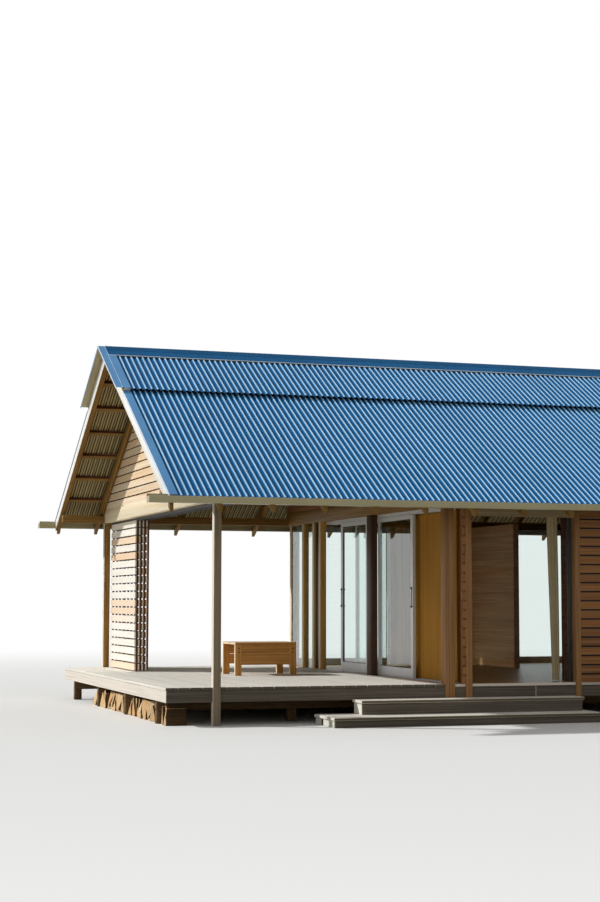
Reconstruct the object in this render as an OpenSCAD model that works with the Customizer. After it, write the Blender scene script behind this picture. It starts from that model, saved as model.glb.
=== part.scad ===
// Beach house: a timber frame on short piles, with a covered deck bay at the left end,
// a glazed wall behind it and a corrugated gable roof with a raised, vented ridge.
// Frame: X along the ridge, Y away from the front, Z up from the ground.
// The origin lies on the ground, under the middle of the ridge.

/* [Plan] */
// Length between the outer faces of the two gable ends
house_l = 9346; // [8400:2:10200]
// Depth between the outer faces of the front and far posts
house_d = 6400; // [6000:50:6800]
// Depth of the open deck bay, from the left gable face to the glazed wall
bay_l = 2900; // [2600:50:3100]
// Side of a square post
post_w = 90; // [80:5:110]
// How far the deck runs out past the left gable face
deck_out = 556; // [400:2:600]
// Clear width of the open doorway in the front wall
doorway_w = 1383; // [1100:1:1500]
// Distance from the left gable face to the boarded inner wall
inner_wall_g = 5850; // [5400:10:6100]
// Length of the inner wall, from the far wall
inner_wall_l = 1870; // [1200:10:2400]

// Near face of the double post in the middle of the glazed wall
centre_y = -585; // [-700:5:-400]
// Width of the far fixed light of the glazed wall
far_light_w = 670; // [600:5:700]
// Width of the fixed light next to it
next_light_w = 405; // [380:5:450]
// Width of the narrow solid panel between that light and the sliding leaf
panel_w = 205; // [150:5:220]
// From the inner wall back to the right post of the window beside the glazed wall
window_back = 1250; // [1200:10:1300]
// From the inner wall to the left post of the end room's window
window_on = 650; // [600:10:700]
// Distance between the posts of the end room's window
window_span = 1290; // [1200:10:1400]

/* [Levels] */
// Top of the deck and floor above the ground
deck_z = 440; // [380:5:520]
// Underside of the eave beams and gable beams
beam_z = 2590; // [2500:10:2700]
// Height of the gable beams
gable_beam_h = 200; // [150:5:240]
// Underside of the header over the front doorway
header_z = 2463; // [2400:1:2480]
// Underside of the heads of the far windows
window_head_z = 2514; // [2300:1:2540]

// Height of the frame below the glass of the far windows
window_sill = 95; // [80:5:200]

/* [Deck] */
// Thickness of the decking and floor boards
board_t = 32; // [22:1:40]
// Depth of the joists
joist_h = 123; // [100:1:128]
// Width of a joist
joist_w = 45; // [40:1:60]
// Depth of the bearers
bearer_h = 135; // [90:1:150]
// Width of a bearer
bearer_w = 90; // [70:5:120]
// Side of a square pile
pile_w = 100; // [90:5:120]
// Top of the lower step above the ground
low_step_z = 115; // [90:5:130]
// Top of the upper step above the ground
high_step_z = 280; // [240:5:290]
// Length of the lower step
low_step_l = 3400; // [2400:50:3600]
// How far the lower step stands out past the upper one
low_going = 400; // [280:10:450]
// How far the upper step stands out past the posts
high_going = 315; // [250:5:400]
// Thickness of the step boards
step_t = 45; // [32:1:60]

/* [Roof] */
// Slope of the roof in degrees
pitch = 30; // [26:0.5:33]
// Height of the top of the purlins, carried on to the ridge line
roof_z = 4727; // [4650:1:4850]
// Length of the slope, from the ridge line to the end of the lower sheets
slope_l = 4265; // [4230:5:4290]
// Length of the slope that the raised upper sheets cover
upper_l = 1346; // [1000:2:1700]
// How far the sheets run out past the rafter tails, over the gutters
sheet_over = 73.6; // [60:0.1:90]
// Lift of the upper sheets over the lower ones
vent_lift = 45; // [40:1:70]
// Distance from one corrugation to the next
wave_w = 76.2; // [60:0.2:90]
// Height of a corrugation
wave_h = 17; // [14:0.5:20]
// Thickness of the roof sheet
sheet_t = 4; // [3:0.5:5]
// How far the barge boards stand out past the gable faces
barge_out = 654; // [500:2:800]
// Thickness of a barge board
barge_t = 22; // [18:1:40]
// Depth of a barge board below the top of the purlins
barge_h = 130; // [100:2:150]
// Width of a purlin, along the slope
purlin_w = 70; // [60:1:80]
// Thickness of a purlin
purlin_t = 45; // [35:1:50]
// Number of purlins on each slope
purlin_n = 8; // [6:1:10]
// Depth of a rafter
rafter_h = 130; // [110:1:140]
// Width of a rafter
rafter_w = 45; // [40:1:50]
// Number of gaps between the rafters, from gable to gable
rafter_gaps = 15; // [12:1:18]
// Width of one side of the ridge cap
cap_w = 265; // [220:5:320]

/* [Gutters] */
// Width of the gutter
gutter_w = 125; // [100:5:150]
// Height of the gutter
gutter_h = 75; // [60:1:90]
// Thickness of the gutter metal
gutter_t = 4; // [3:0.5:6]
// How far the gutters run past the barge boards
gutter_out = 243; // [100:1:300]
// How far the underside of the gutter lies below the line of the purlins' tops at the tails
gutter_drop = 112; // [100:1:130]

/* [Boards] */
// Distance from one slat of a screen or slatted wall to the next
slat_pitch = 112; // [90:1:130]
// Gap between the slats
slat_gap = 16; // [8:1:25]
// Thickness of a slat
slat_t = 20; // [16:1:25]
// Distance from one gable board to the next
gable_pitch = 112; // [80:1:130]
// Gap between the gable boards
gable_gap = 14; // [5:1:20]
// Thickness of one slatted screen leaf
screen_t = 44; // [42:1:48]
// Width of one slatted screen leaf
screen_w = 1652; // [1300:2:1700]

/* [Doors] */
// Thickness of a sliding leaf
leaf_t = 40; // [35:1:42]
// Width of the far sliding glass leaf
far_leaf_w = 1110; // [1000:10:1150]
// How far the far leaf stands open
far_leaf_open = 631; // [0:1:700]
// Width of the near sliding glass leaf
near_leaf_w = 1267; // [1200:1:1300]
// How far the near leaf stands open
near_leaf_open = 1213; // [0:1:1225]
// Width of the solid sliding leaf
solid_leaf_w = 1420; // [1300:10:1450]
// Width of a leaf's stiles
stile_w = 75; // [50:1:90]
// Height of a leaf's bottom rail
rail_h = 120; // [80:1:150]
// Height of a leaf's top rail
top_rail_h = 55; // [40:1:80]
// Thickness of the glass
glass_t = 10; // [6:1:14]
// Length of a door handle
handle_l = 260; // [200:5:320]
// Height of the door handles above the foot of their leaves
handle_up = 895; // [800:5:1000]
// Diameter of a door handle
handle_d = 19; // [14:1:25]

/* [Table] */
// Length of the low timber table on the deck
table_l = 852; // [700:2:900]
// Depth of the table
table_w = 641; // [500:1:700]
// Height of the table
table_h = 440; // [400:1:480]
// Thickness of the table boards
table_t = 32; // [25:1:45]

/* [Hidden] */

hl = house_l / 2;
hd = house_d / 2;
inner_y = hd - post_w;
glazed_x = -hl + bay_l;
glazed_in = glazed_x + post_w;
slat_h = slat_pitch - slat_gap;
joist_z = deck_z - board_t - joist_h;
bearer_z = joist_z - bearer_h;
edge_z = joist_z - 15;
edge_t = 30;
edge_y = hd - 15;
rim_y = edge_y - edge_t;
deck_x = -hl - deck_out;
rim_x0 = deck_x + edge_t;
rim_x1 = hl - 15 - edge_t;
barge_x = hl + barge_out;
purlin_x = barge_x - barge_t;
gutter_x = barge_x + gutter_out;
tail_y = slope_l * cos(pitch) - sheet_over;
gable_rafter_x = hl + 37;
rafter_step = 2 * gable_rafter_x / rafter_gaps;
seat_z = beam_z + 110;
sheet_top = wave_h + sheet_t;
cap_t = 3;
plate_t = 3;
waves = floor((2 * purlin_x - 60) / wave_w);
sheet_w = waves * wave_w;
lining_t = post_w - slat_t;
run = 5;
fit = 0.3;

// Plan of the front wall, from the corner post to the right end
corner_x = glazed_x - 20;
corner_w = 123;
corner_d = 135;
strip_x = glazed_x + 191;
jamb_x = strip_x + 56;
jamb_w = 82;
doorway_x = jamb_x + jamb_w;
doorway_end = doorway_x + doorway_w;
wall_x = doorway_end + 74;
front_post_xw = [[jamb_x, jamb_w], [doorway_end, 74], [hl - post_w, post_w]];

// Plan of the far wall: posts, with windows in the first and third bays
inner_x = -hl + inner_wall_g;
far_post_x = [glazed_x + 50, inner_x - window_back, inner_x + window_on,
    inner_x + window_on + window_span, hl - post_w];
far_window = [0, 2];
far_solid = [1, 3];

// Piles stand in rows under the bearers
pile_rows = [-0.806 * hd, -0.269 * hd, 0.269 * hd, 0.806 * hd];
pile_n = 7;
pile_x0 = deck_x + edge_t + pile_w / 2;
pile_step = (hl - 160 - pile_x0) / (pile_n - 1);

// Height of a roof plane at a distance y from the ridge line, n square above the purlins
function roof_at(y, n) = roof_z - abs(y) * tan(pitch) + n / cos(pitch);

// Distance out and height of a point s down a slope, n square above the purlins
function on_slope(s, n) = [s * cos(pitch) + n * sin(pitch), roof_z - s * sin(pitch) + n * cos(pitch)];

gutter_z = roof_at(tail_y, 0) - gutter_drop;

// Puts what is drawn with Y down the slope and Z square to it on a slope of the roof
module far_slope() { translate([0, 0, roof_z]) rotate([-pitch, 0, 0]) children(); }
module front_slope() { mirror([0, 1, 0]) far_slope() children(); }
module both_slopes() { far_slope() children(); front_slope() children(); }

// A block from one corner to the opposite one
module block(a, b) { translate(a) cube(b - a); }

module piles() {
    color("peru")
    for (i = [0 : pile_n - 1], y = pile_rows)
        translate([pile_x0 + i * pile_step - pile_w / 2, y - pile_w / 2, 0]) cube([pile_w, pile_w, bearer_z]);
}

module bearers() {
    color("saddlebrown")
    for (y = pile_rows) block([rim_x0, y - bearer_w / 2, bearer_z], [rim_x1, y + bearer_w / 2, joist_z]);
}

module joists() {
    count = floor((rim_x1 - rim_x0 - joist_w) / 600) + 1;
    step = (rim_x1 - rim_x0 - joist_w) / (count - 1);
    color("burlywood")
    difference() {
        for (i = [0 : count - 1]) translate([rim_x0 + i * step, -rim_y, joist_z]) cube([joist_w, 2 * rim_y, joist_h]);
        ground_posts();
    }
}

module edge_boards() {
    color("tan")
    difference() {
        block([deck_x, -edge_y, edge_z], [rim_x1 + edge_t, edge_y, deck_z]);
        block([rim_x0, -rim_y, edge_z - 1], [rim_x1, rim_y, deck_z + 1]);
        ground_posts();
    }
}

module deck() {
    color("wheat")
    difference() {
        block([rim_x0, -rim_y, deck_z - board_t], [glazed_x, rim_y, deck_z]);
        ground_posts();
    }
}

module floor() {
    color("burlywood")
    difference() {
        block([glazed_x, -rim_y, deck_z - board_t], [rim_x1, rim_y, deck_z]);
        ground_posts();
    }
}

// The steps are open boxes that butt against the posts
low_step_x = -hl + 1220;
high_step_x = low_step_x + 474;
module step_box(x, l, going, z0, z1) {
    translate([x, -hd - going, z0]) difference() {
        cube([l, going, z1 - z0]);
        translate([step_t, step_t, -1]) cube([l - 2 * step_t, going, z1 - z0 - step_t + 1]);
    }
}
module lower_step() { color("tan") step_box(low_step_x, low_step_l, high_going + low_going, 0, low_step_z); }
module upper_step() {
    color("wheat") step_box(high_step_x, low_step_l - 474 - 60, high_going, low_step_z, high_step_z);
}

// Posts that run from the ground to the beams
module post(x, y, w) { translate([x, y, 0]) cube([w, post_w, beam_z]); }
module deck_posts() { color("goldenrod") { post(-hl, -hd, post_w); post(-hl, inner_y, post_w); } }
module front_posts() {
    color("sienna") {
        translate([corner_x, -hd, 0]) cube([corner_w, corner_d, beam_z]);
        for (p = front_post_xw) post(p[0], -hd, p[1]);
    }
}
module far_posts() { color("goldenrod") for (x = far_post_x) post(x, inner_y, post_w); }
module ground_posts() { deck_posts(); front_posts(); far_posts(); }

// Posts of the glazed wall stand on the deck; the middle one is double
centre_w = 2 * post_w;
pane_y = [inner_y - far_light_w - post_w, inner_y - far_light_w - next_light_w - 2 * post_w,
    inner_y - far_light_w - next_light_w - panel_w - 3 * post_w];
module glazed_wall_posts() {
    color("peru") {
        for (y = pane_y) block([glazed_x, y, deck_z], [glazed_in, y + post_w, beam_z]);
        block([glazed_x, centre_y, deck_z], [glazed_in, centre_y + centre_w, beam_z]);
    }
}

module eave_beam() { block([-purlin_x, inner_y, beam_z], [purlin_x, hd, seat_z]); }
module eave_beams() { color("goldenrod") { eave_beam(); mirror([0, 1, 0]) eave_beam(); } }

// Beams across the house, notched over the eave beams
module cross_beams() {
    color("khaki")
    for (x = [-hl, glazed_x, hl - post_w]) difference() {
        block([x, -hd, beam_z], [x + post_w, hd, beam_z + gable_beam_h]);
        eave_beams();
    }
}

// One rafter, from the ridge board to its plumb-cut tail, notched over the eave beam
module rafter(depth) {
    half = rafter_w / 2;
    top = -purlin_t;
    difference() {
        rotate([90, 0, 90]) linear_extrude(rafter_w)
            polygon([[half, roof_at(half, top)], [tail_y, roof_at(tail_y, top)],
                [tail_y, roof_at(tail_y, top - rafter_h)], [tail_y - 60, roof_at(tail_y - 60, top - rafter_h)],
                [tail_y - 60 - (rafter_h - depth), roof_at(tail_y - 60 - (rafter_h - depth), top - depth)],
                [half, roof_at(half, top - depth)]]);
        translate([-1, inner_y, beam_z - 100]) cube([rafter_w + 2, post_w, seat_z - beam_z + 100]);
    }
}
module rafters() {
    for (i = [0 : rafter_gaps])
        translate([-gable_rafter_x + i * rafter_step - rafter_w / 2, 0, 0]) rafter(rafter_h);
    for (x = [-purlin_x, purlin_x - rafter_w]) translate([x, 0, 0]) rafter(barge_h - purlin_t);
}
module far_rafters() { color("peru") rafters(); }
module front_rafters() { color("peru") mirror([0, 1, 0]) rafters(); }

ridge_h = rafter_h / cos(pitch) + 20;
ridge_z = roof_at(rafter_w / 2, -purlin_t);
module ridge_block(grow) {
    translate([-purlin_x, -rafter_w / 2 - grow, ridge_z - ridge_h - grow])
        cube([2 * purlin_x, rafter_w + 2 * grow, ridge_h + 2 * grow]);
}
module ridge_board() { color("peru") ridge_block(0); }

// Purlins lie flat across the rafters
purlin_s0 = 55;
purlin_s1 = tail_y / cos(pitch) - purlin_w - 12;
module purlins() {
    for (i = [0 : purlin_n - 1])
        translate([-purlin_x, purlin_s0 + i * (purlin_s1 - purlin_s0) / (purlin_n - 1), -purlin_t])
            cube([2 * purlin_x, purlin_w, purlin_t]);
}
module far_purlins() { color("darkorange") far_slope() purlins(); }
module front_purlins() { color("darkorange") front_slope() purlins(); }

module barge_board() {
    rotate([90, 0, 90]) linear_extrude(barge_t)
        polygon([[fit / 2, roof_at(0, wave_h - 3)], [tail_y, roof_at(tail_y, wave_h - 3)],
            [tail_y, roof_at(tail_y, -barge_h)], [fit / 2, roof_at(0, -barge_h)]]);
}
module barge_boards() {
    color("white")
    for (x = [-barge_x, purlin_x]) translate([x, 0, 0]) {
        barge_board();
        mirror([0, 1, 0]) barge_board();
    }
}

// Corrugated sheet: a wavy strip along X, extruded down the slope
function wave_line(lift) = concat([[-sheet_w / 2, wave_h + lift]],
    [for (i = [0 : waves - 1], p = [[0.5, wave_h], [1.5, 0], [2.5, 0], [3.5, wave_h]])
        [-sheet_w / 2 + (i + p[0] / 4) * wave_w, p[1] + lift]],
    [[sheet_w / 2, wave_h + lift]]);
module sheet(from_s, to_s, n) {
    low = wave_line(0);
    high = wave_line(sheet_t);
    back = [for (i = [len(high) - 1 : -1 : 0]) high[i]];
    translate([0, to_s, n]) rotate([90, 0, 0]) linear_extrude(to_s - from_s) polygon(concat(low, back));
}
module far_lower_sheet() { color("steelblue") far_slope() sheet(30, slope_l, 0); }
module front_lower_sheet() { color("steelblue") front_slope() sheet(30, slope_l, 0); }
module far_upper_sheet() { color("steelblue") far_slope() sheet(50, upper_l, vent_lift); }
module front_upper_sheet() { color("steelblue") front_slope() sheet(50, upper_l, vent_lift); }

// Battens that lift the upper sheets off the crests of the lower ones
module vent_battens() {
    color("dimgray") both_slopes()
    for (s = [140, upper_l / 2, upper_l - 110])
        translate([-sheet_w / 2, s, sheet_top]) cube([sheet_w, 45, vent_lift - sheet_top]);
}

module ridge_cap() {
    n = vent_lift + sheet_top + plate_t + 2 * fit;
    edge = cap_w * cos(pitch) + n * sin(pitch);
    color("steelblue") translate([-barge_x, 0, 0]) rotate([90, 0, 90]) linear_extrude(2 * barge_x)
        polygon([[0, roof_at(0, n)], [edge, roof_at(edge, n)], [edge, roof_at(edge, n + cap_t)],
            [0, roof_at(0, n + cap_t)], [-edge, roof_at(edge, n + cap_t)], [-edge, roof_at(edge, n)]]);
}

// Angle flashings over the ends of the sheets; those of the upper tier are bent over the ridge
upper_out = 100;
flashing_in = 94;
module lower_flashing(n, from_s, to_s, down) {
    reach = plate_t + fit;
    translate([-barge_x - reach, from_s, n]) cube([flashing_in + reach, to_s - from_s, plate_t]);
    translate([-barge_x - reach, from_s, n - down]) cube([plate_t, to_s - from_s, down]);
}
module ridge_band(w, n0, n1) {
    right = [[0, roof_at(0, n1)], on_slope(upper_l, n1), on_slope(upper_l, n0), [0, roof_at(0, n0)]];
    left = [for (i = [2, 1]) [-right[i][0], right[i][1]]];
    translate([-barge_x - upper_out, 0, 0]) rotate([90, 0, 90]) linear_extrude(w)
        polygon(concat(right, left));
}
module end_flashings() {
    n = vent_lift + sheet_top + fit;
    both_slopes() lower_flashing(sheet_top + fit, upper_l + 12, slope_l - 60, 34);
    ridge_band(upper_out + flashing_in, n, n + plate_t);
    ridge_band(plate_t, n - 22, n + plate_t);
}
module barge_flashings() {
    color("lightsteelblue") {
        end_flashings();
        mirror([1, 0, 0]) end_flashings();
    }
}

// Box gutter with closed ends, fixed to the rafter tails
module gutter() {
    translate([-gutter_x, tail_y, gutter_z]) difference() {
        cube([2 * gutter_x, gutter_w, gutter_h]);
        translate([gutter_t, gutter_t, gutter_t])
            cube([2 * (gutter_x - gutter_t), gutter_w - 2 * gutter_t, gutter_h]);
    }
}
module far_gutter() { color("darkkhaki") gutter(); }
module front_gutter() { color("darkkhaki") mirror([0, 1, 0]) gutter(); }

// Boards that fill a gable between its beam and the roof, joined by uprights behind them
gable_z = beam_z + gable_beam_h;
module gable_boards() {
    top = -purlin_t - fit;
    side = (roof_at(0, top) - gable_z) / tan(pitch);
    difference() {
        intersection() {
            rotate([90, 0, 90]) linear_extrude(2 * slat_t)
                polygon([[-side, gable_z], [side, gable_z], [0, roof_at(0, top)]]);
            union() {
                for (z = [gable_z : gable_pitch : roof_z])
                    translate([0, -hd, z]) cube([slat_t, house_d, gable_pitch - gable_gap]);
                for (k = [-3 : 3])
                    translate([slat_t, k * house_d / 8 - 35, gable_z]) cube([slat_t, 70, roof_z - gable_z]);
            }
        }
        ridge_block(fit);
    }
}
module left_gable_boards() { color("sandybrown") translate([-hl, 0, 0]) gable_boards(); }
module cross_gable_boards() {
    color("sandybrown") difference() {
        translate([glazed_x, 0, 0]) gable_boards();
        rafters();
        mirror([0, 1, 0]) rafters();
    }
}
module right_gable_boards() { color("sandybrown") mirror([1, 0, 0]) translate([-hl, 0, 0]) gable_boards(); }

// Linings behind the slats of the closed walls
module wall_linings() {
    color("burlywood") {
        block([wall_x, -hd + slat_t, deck_z], [hl - post_w, -inner_y, beam_z]);
        for (i = far_solid) block([far_post_x[i] + post_w, inner_y, deck_z], [far_post_x[i + 1], hd - slat_t, beam_z]);
        block([hl - post_w, -inner_y, deck_z], [hl - slat_t, inner_y, beam_z]);
    }
}

// Slats over the closed walls
slat_n = floor((beam_z - deck_z + slat_gap) / slat_pitch);
module wall_slats() {
    color("chocolate") for (i = [0 : slat_n - 1]) translate([0, 0, deck_z + i * slat_pitch]) {
        block([wall_x, -hd, 0], [hl - post_w, -hd + slat_t, slat_h]);
        for (k = far_solid) block([far_post_x[k] + post_w, hd - slat_t, 0], [far_post_x[k + 1], hd, slat_h]);
        block([hl - slat_t, -inner_y, 0], [hl, inner_y, slat_h]);
    }
}

// Boarded inner wall that stands on the floor and runs in from the far wall
module inner_wall() {
    color("saddlebrown") block([inner_x, inner_y - inner_wall_l, deck_z], [inner_x + post_w, inner_y, beam_z]);
}

// Header over the front doorway, and the narrow slatted panel at its left jamb
module doorway_trim() {
    color("tan") block([doorway_x, -hd, header_z], [doorway_end, -hd + 45, beam_z]);
    color("chocolate") {
        for (i = [0 : slat_n - 1])
            translate([strip_x, -hd, deck_z + i * slat_pitch]) cube([jamb_x - strip_x, slat_t, slat_h]);
        block([strip_x, -hd + slat_t, deck_z], [jamb_x, -hd + 45, beam_z]);
    }
}

// Board overhead, inside the front wall, that carries the tracks of the doorway's leaves
track_z = beam_z - 45;
track_w = 450;
module door_tracks() {
    color("tan") block([jamb_x, -inner_y, track_z], [wall_x + parked_w, -inner_y + track_w, beam_z]);
}

// Slatted screens: four leaves that hang from rails across the gable opening
screen_step = screen_t + 8;
screen_x = glazed_x - bay_l + post_w + 10;
screen_low = deck_z + 15;
screen_high = beam_z - 45;
screen_n = floor((screen_high - screen_low + slat_gap) / slat_pitch);
module screen_track() {
    color("dimgray")
    block([screen_x - 6, -inner_y, beam_z - 30], [screen_x + 4 * screen_step - 2, inner_y, beam_z]);
}
module screen(i) {
    x = screen_x + i * screen_step;
    y0 = inner_y - 35 - screen_w;
    top = screen_low + screen_n * slat_pitch - slat_gap;
    color("peru") {
        for (k = [0 : screen_n - 1])
            translate([x, y0, screen_low + k * slat_pitch]) cube([slat_t, screen_w, slat_h]);
        for (y = [y0, y0 + screen_w / 2 - 22, y0 + screen_w - 44])
            block([x + slat_t, y, screen_low], [x + screen_t, y + 44, top]);
        for (y = [y0 + 22, y0 + screen_w - 22])
            block([x + slat_t + 4, y - 18, top], [x + slat_t + 16, y + 18, beam_z - 30 - fit]);
    }
}
module screen_1() { screen(0); }
module screen_2() { screen(1); }
module screen_3() { screen(2); }
module screen_4() { screen(3); }

// Sliding doors in the glazed wall: head and sill with two tracks, leaves inside the posts
track_a = glazed_in + 6;
track_b = track_a + leaf_t + 56;
frame_near = -hd + corner_d;
frame_far = pane_y[2];
frame_d = track_b + leaf_t + 8 - glazed_in;
head_z = beam_z - 45;
sill_z = deck_z + 8;
leaf_low = sill_z + run;
leaf_high = head_z - run;
leaf_h = leaf_high - leaf_low;
fixed_w = 965;
fixed_y = centre_y + centre_w;

module door_frame() {
    color("silver") {
        block([glazed_in, frame_near, head_z], [glazed_in + frame_d, frame_far, beam_z]);
        block([glazed_in, frame_near, deck_z], [glazed_in + frame_d, frame_far, sill_z]);
        translate([track_b, fixed_y, sill_z]) ring(leaf_t, fixed_w, head_z - sill_z);
    }
}

// A frame of two stiles and two rails in the YZ plane, with the hole for its pane
module ring(t, w, h) {
    difference() {
        cube([t, w, h]);
        translate([-1, stile_w, rail_h]) cube([t + 2, w - 2 * stile_w, h - rail_h - top_rail_h]);
    }
}
module pane(t, w, h) {
    translate([(t - glass_t) / 2, stile_w, rail_h]) cube([glass_t, w - 2 * stile_w, h - rail_h - top_rail_h]);
}

// Guide shoes between a leaf and its tracks
module shoes(w) {
    for (y = [30, w - 90]) translate([leaf_t / 2 - 6, y, 0]) {
        translate([0, 0, fit - run]) cube([12, 60, run - fit]);
        translate([0, 0, leaf_h]) cube([12, 60, run - fit]);
    }
}

// D-shaped pull handle that stands out along X
pull_out = 50;
module pull() {
    translate([0, -handle_d / 2, 0]) difference() {
        cube([pull_out, handle_d, handle_l]);
        translate([-1, -1, handle_d]) cube([pull_out - handle_d + 1, handle_d + 2, handle_l - 2 * handle_d]);
    }
}

far_leaf_y = frame_far - far_leaf_open - far_leaf_w;
near_leaf_y = frame_near + near_leaf_open;
solid_leaf_y = frame_near + 5;
handle_z = leaf_low + handle_up;

module far_leaf() {
    color("lightgray") translate([track_a, far_leaf_y, leaf_low]) {
        ring(leaf_t, far_leaf_w, leaf_h);
        shoes(far_leaf_w);
        for (side = [0, 1]) translate([side * leaf_t, far_leaf_w - stile_w / 2, handle_z - leaf_low])
            mirror([1 - side, 0, 0]) pull();
    }
}
module far_leaf_glass() {
    color("lightblue") translate([track_a, far_leaf_y, leaf_low]) pane(leaf_t, far_leaf_w, leaf_h);
}
module near_leaf() {
    color("lightgray") translate([track_a, near_leaf_y, leaf_low]) {
        ring(leaf_t, near_leaf_w, leaf_h);
        shoes(near_leaf_w);
        for (side = [0, 1]) translate([side * leaf_t, stile_w / 2, handle_z - leaf_low])
            mirror([1 - side, 0, 0]) pull();
    }
}
module near_leaf_glass() {
    color("lightblue") translate([track_a, near_leaf_y, leaf_low]) pane(leaf_t, near_leaf_w, leaf_h);
}
module solid_leaf() {
    color("peru") translate([track_b, solid_leaf_y, leaf_low]) {
        cube([leaf_t, solid_leaf_w, leaf_h]);
        shoes(solid_leaf_w);
        translate([leaf_t, stile_w / 2, handle_z - leaf_low]) pull();
    }
}

// Fixed lights between the posts at the far end of the glazed wall, and a narrow solid panel
module side_panel() {
    color("dimgray") block([glazed_x + 30, pane_y[2] + post_w, deck_z], [glazed_x + 62, pane_y[1], beam_z]);
}
module fixed_panes() {
    color("lightblue") {
        translate([track_b, fixed_y, sill_z]) pane(leaf_t, fixed_w, head_z - sill_z);
        block([glazed_x + 40, pane_y[1] + post_w, deck_z], [glazed_x + 40 + glass_t, pane_y[0], beam_z]);
        block([glazed_x + 60, pane_y[0] + post_w, deck_z], [glazed_x + 60 + glass_t, inner_y, beam_z]);
    }
}

// Leaves of the front doorway, parked behind the wall to its right
parked_w = doorway_w - 60;
module parked_leaves() {
    for (k = [0 : 2]) {
        y = -inner_y + 140 + k * 52;
        color("silver") block([wall_x, y, deck_z], [wall_x + parked_w, y + 44, track_z]);
        color("peru") block([wall_x, y + 160, deck_z], [wall_x + parked_w, y + 200, track_z]);
    }
}

// Windows: a frame of four bars round each opening in the far wall
module window_frames() {
    bar = 50;
    color("silver") for (i = far_window) {
        x0 = far_post_x[i] + post_w;
        w = far_post_x[i + 1] - x0;
        translate([x0, inner_y + 15, deck_z]) difference() {
            cube([w, 60, beam_z - deck_z]);
            translate([bar, -1, window_sill]) cube([w - 2 * bar, 62, window_head_z - deck_z - window_sill]);
        }
    }
}
module window_glass() {
    color("lightblue") for (i = far_window) {
        x0 = far_post_x[i] + post_w;
        block([x0 + 50, inner_y + 40, deck_z + window_sill],
            [far_post_x[i + 1] - 50, inner_y + 40 + glass_t, window_head_z]);
    }
}

// Curtain that hangs in folds inside the right side of the doorway
curtain_y = -inner_y + 320;
module curtain() {
    color("ivory")
    translate([doorway_end - 156, curtain_y, deck_z + 5]) linear_extrude(track_z - deck_z - 5)
        polygon([[0, 0], [40, 60], [80, 0], [120, 60], [156, 10], [156, 30], [120, 100], [80, 40], [40, 100], [0, 40]]);
}

table_x = -hl + 1091;
table_y = -268;
module table() {
    leg_w = 90;
    apron = 300;
    color("chocolate") translate([table_x, table_y, deck_z]) {
        translate([0, 0, table_h - table_t]) cube([table_l, table_w, table_t]);
        for (x = [0, table_l - leg_w], y = [0, table_w - 45])
            translate([x, y, 0]) cube([leg_w, 45, table_h - table_t]);
        for (y = [0, table_w - 45])
            translate([leg_w, y, table_h - apron]) cube([table_l - 2 * leg_w, 45, apron - table_t]);
        translate([table_l - 45, 45, table_h - apron]) cube([45, table_w - 90, apron - table_t]);
    }
}

// Split logs that stand side by side on the ground between the piles, under the deck's left edge
log_l = 320;
log_h = 235;
log_lean = [0.12, -0.2, 0.16, -0.06, 0.2, -0.12, 0.04, -0.16];
log_w = (pile_rows[1] - pile_rows[0] - pile_w) / 8;
function log_top(i) = (i + 0.5 + log_lean[i]) * log_w;
module log_row(y0, n) {
    translate([rim_x0 + 6, y0, 0]) rotate([90, 0, 90]) {
        for (i = [0 : n - 1]) linear_extrude(log_l)
            polygon([[i * log_w + fit / 2, 0], [(i + 1) * log_w - fit / 2, 0], [log_top(i), log_h]]);
        for (i = [1 : n - 1]) linear_extrude(log_l - 30)
            polygon([[log_top(i - 1) + fit, log_h], [i * log_w, 1], [log_top(i) - fit, log_h]]);
    }
}
module firewood() {
    color("burlywood") {
        log_row(pile_rows[0] - pile_w / 2 - 2 * log_w, 2);
        log_row(pile_rows[0] + pile_w / 2, 8);
        log_row(pile_rows[1] + pile_w / 2, 8);
        log_row(pile_rows[2] + pile_w / 2, 2);
    }
}

piles();
bearers();
joists();
edge_boards();
deck();
floor();
lower_step();
upper_step();
deck_posts();
front_posts();
far_posts();
glazed_wall_posts();
eave_beams();
cross_beams();
front_rafters();
far_rafters();
ridge_board();
front_purlins();
far_purlins();
barge_boards();
front_lower_sheet();
front_upper_sheet();
far_lower_sheet();
far_upper_sheet();
vent_battens();
ridge_cap();
barge_flashings();
front_gutter();
far_gutter();
left_gable_boards();
cross_gable_boards();
right_gable_boards();
wall_linings();
wall_slats();
inner_wall();
doorway_trim();
door_tracks();
screen_track();
screen_1();
screen_2();
screen_3();
screen_4();
door_frame();
side_panel();
fixed_panes();
far_leaf();
far_leaf_glass();
near_leaf();
near_leaf_glass();
solid_leaf();
parked_leaves();
window_frames();
window_glass();
curtain();
table();
firewood();
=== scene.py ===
import math
import random

import bpy
from mathutils import Matrix, Vector


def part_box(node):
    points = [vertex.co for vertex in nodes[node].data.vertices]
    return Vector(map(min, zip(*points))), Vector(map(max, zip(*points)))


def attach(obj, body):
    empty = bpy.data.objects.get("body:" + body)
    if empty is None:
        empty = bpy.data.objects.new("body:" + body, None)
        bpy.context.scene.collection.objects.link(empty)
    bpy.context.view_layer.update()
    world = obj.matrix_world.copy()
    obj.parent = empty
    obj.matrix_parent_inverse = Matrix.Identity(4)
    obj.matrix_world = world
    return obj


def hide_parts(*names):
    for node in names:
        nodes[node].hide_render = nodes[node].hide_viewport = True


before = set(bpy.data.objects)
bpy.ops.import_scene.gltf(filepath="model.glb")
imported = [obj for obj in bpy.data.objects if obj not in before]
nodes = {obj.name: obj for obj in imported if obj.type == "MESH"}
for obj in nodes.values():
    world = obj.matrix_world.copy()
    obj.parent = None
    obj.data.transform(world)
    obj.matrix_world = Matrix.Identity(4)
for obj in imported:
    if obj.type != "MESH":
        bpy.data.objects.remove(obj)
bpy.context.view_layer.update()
print("frame loaded:", len(nodes), "nodes")

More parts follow.
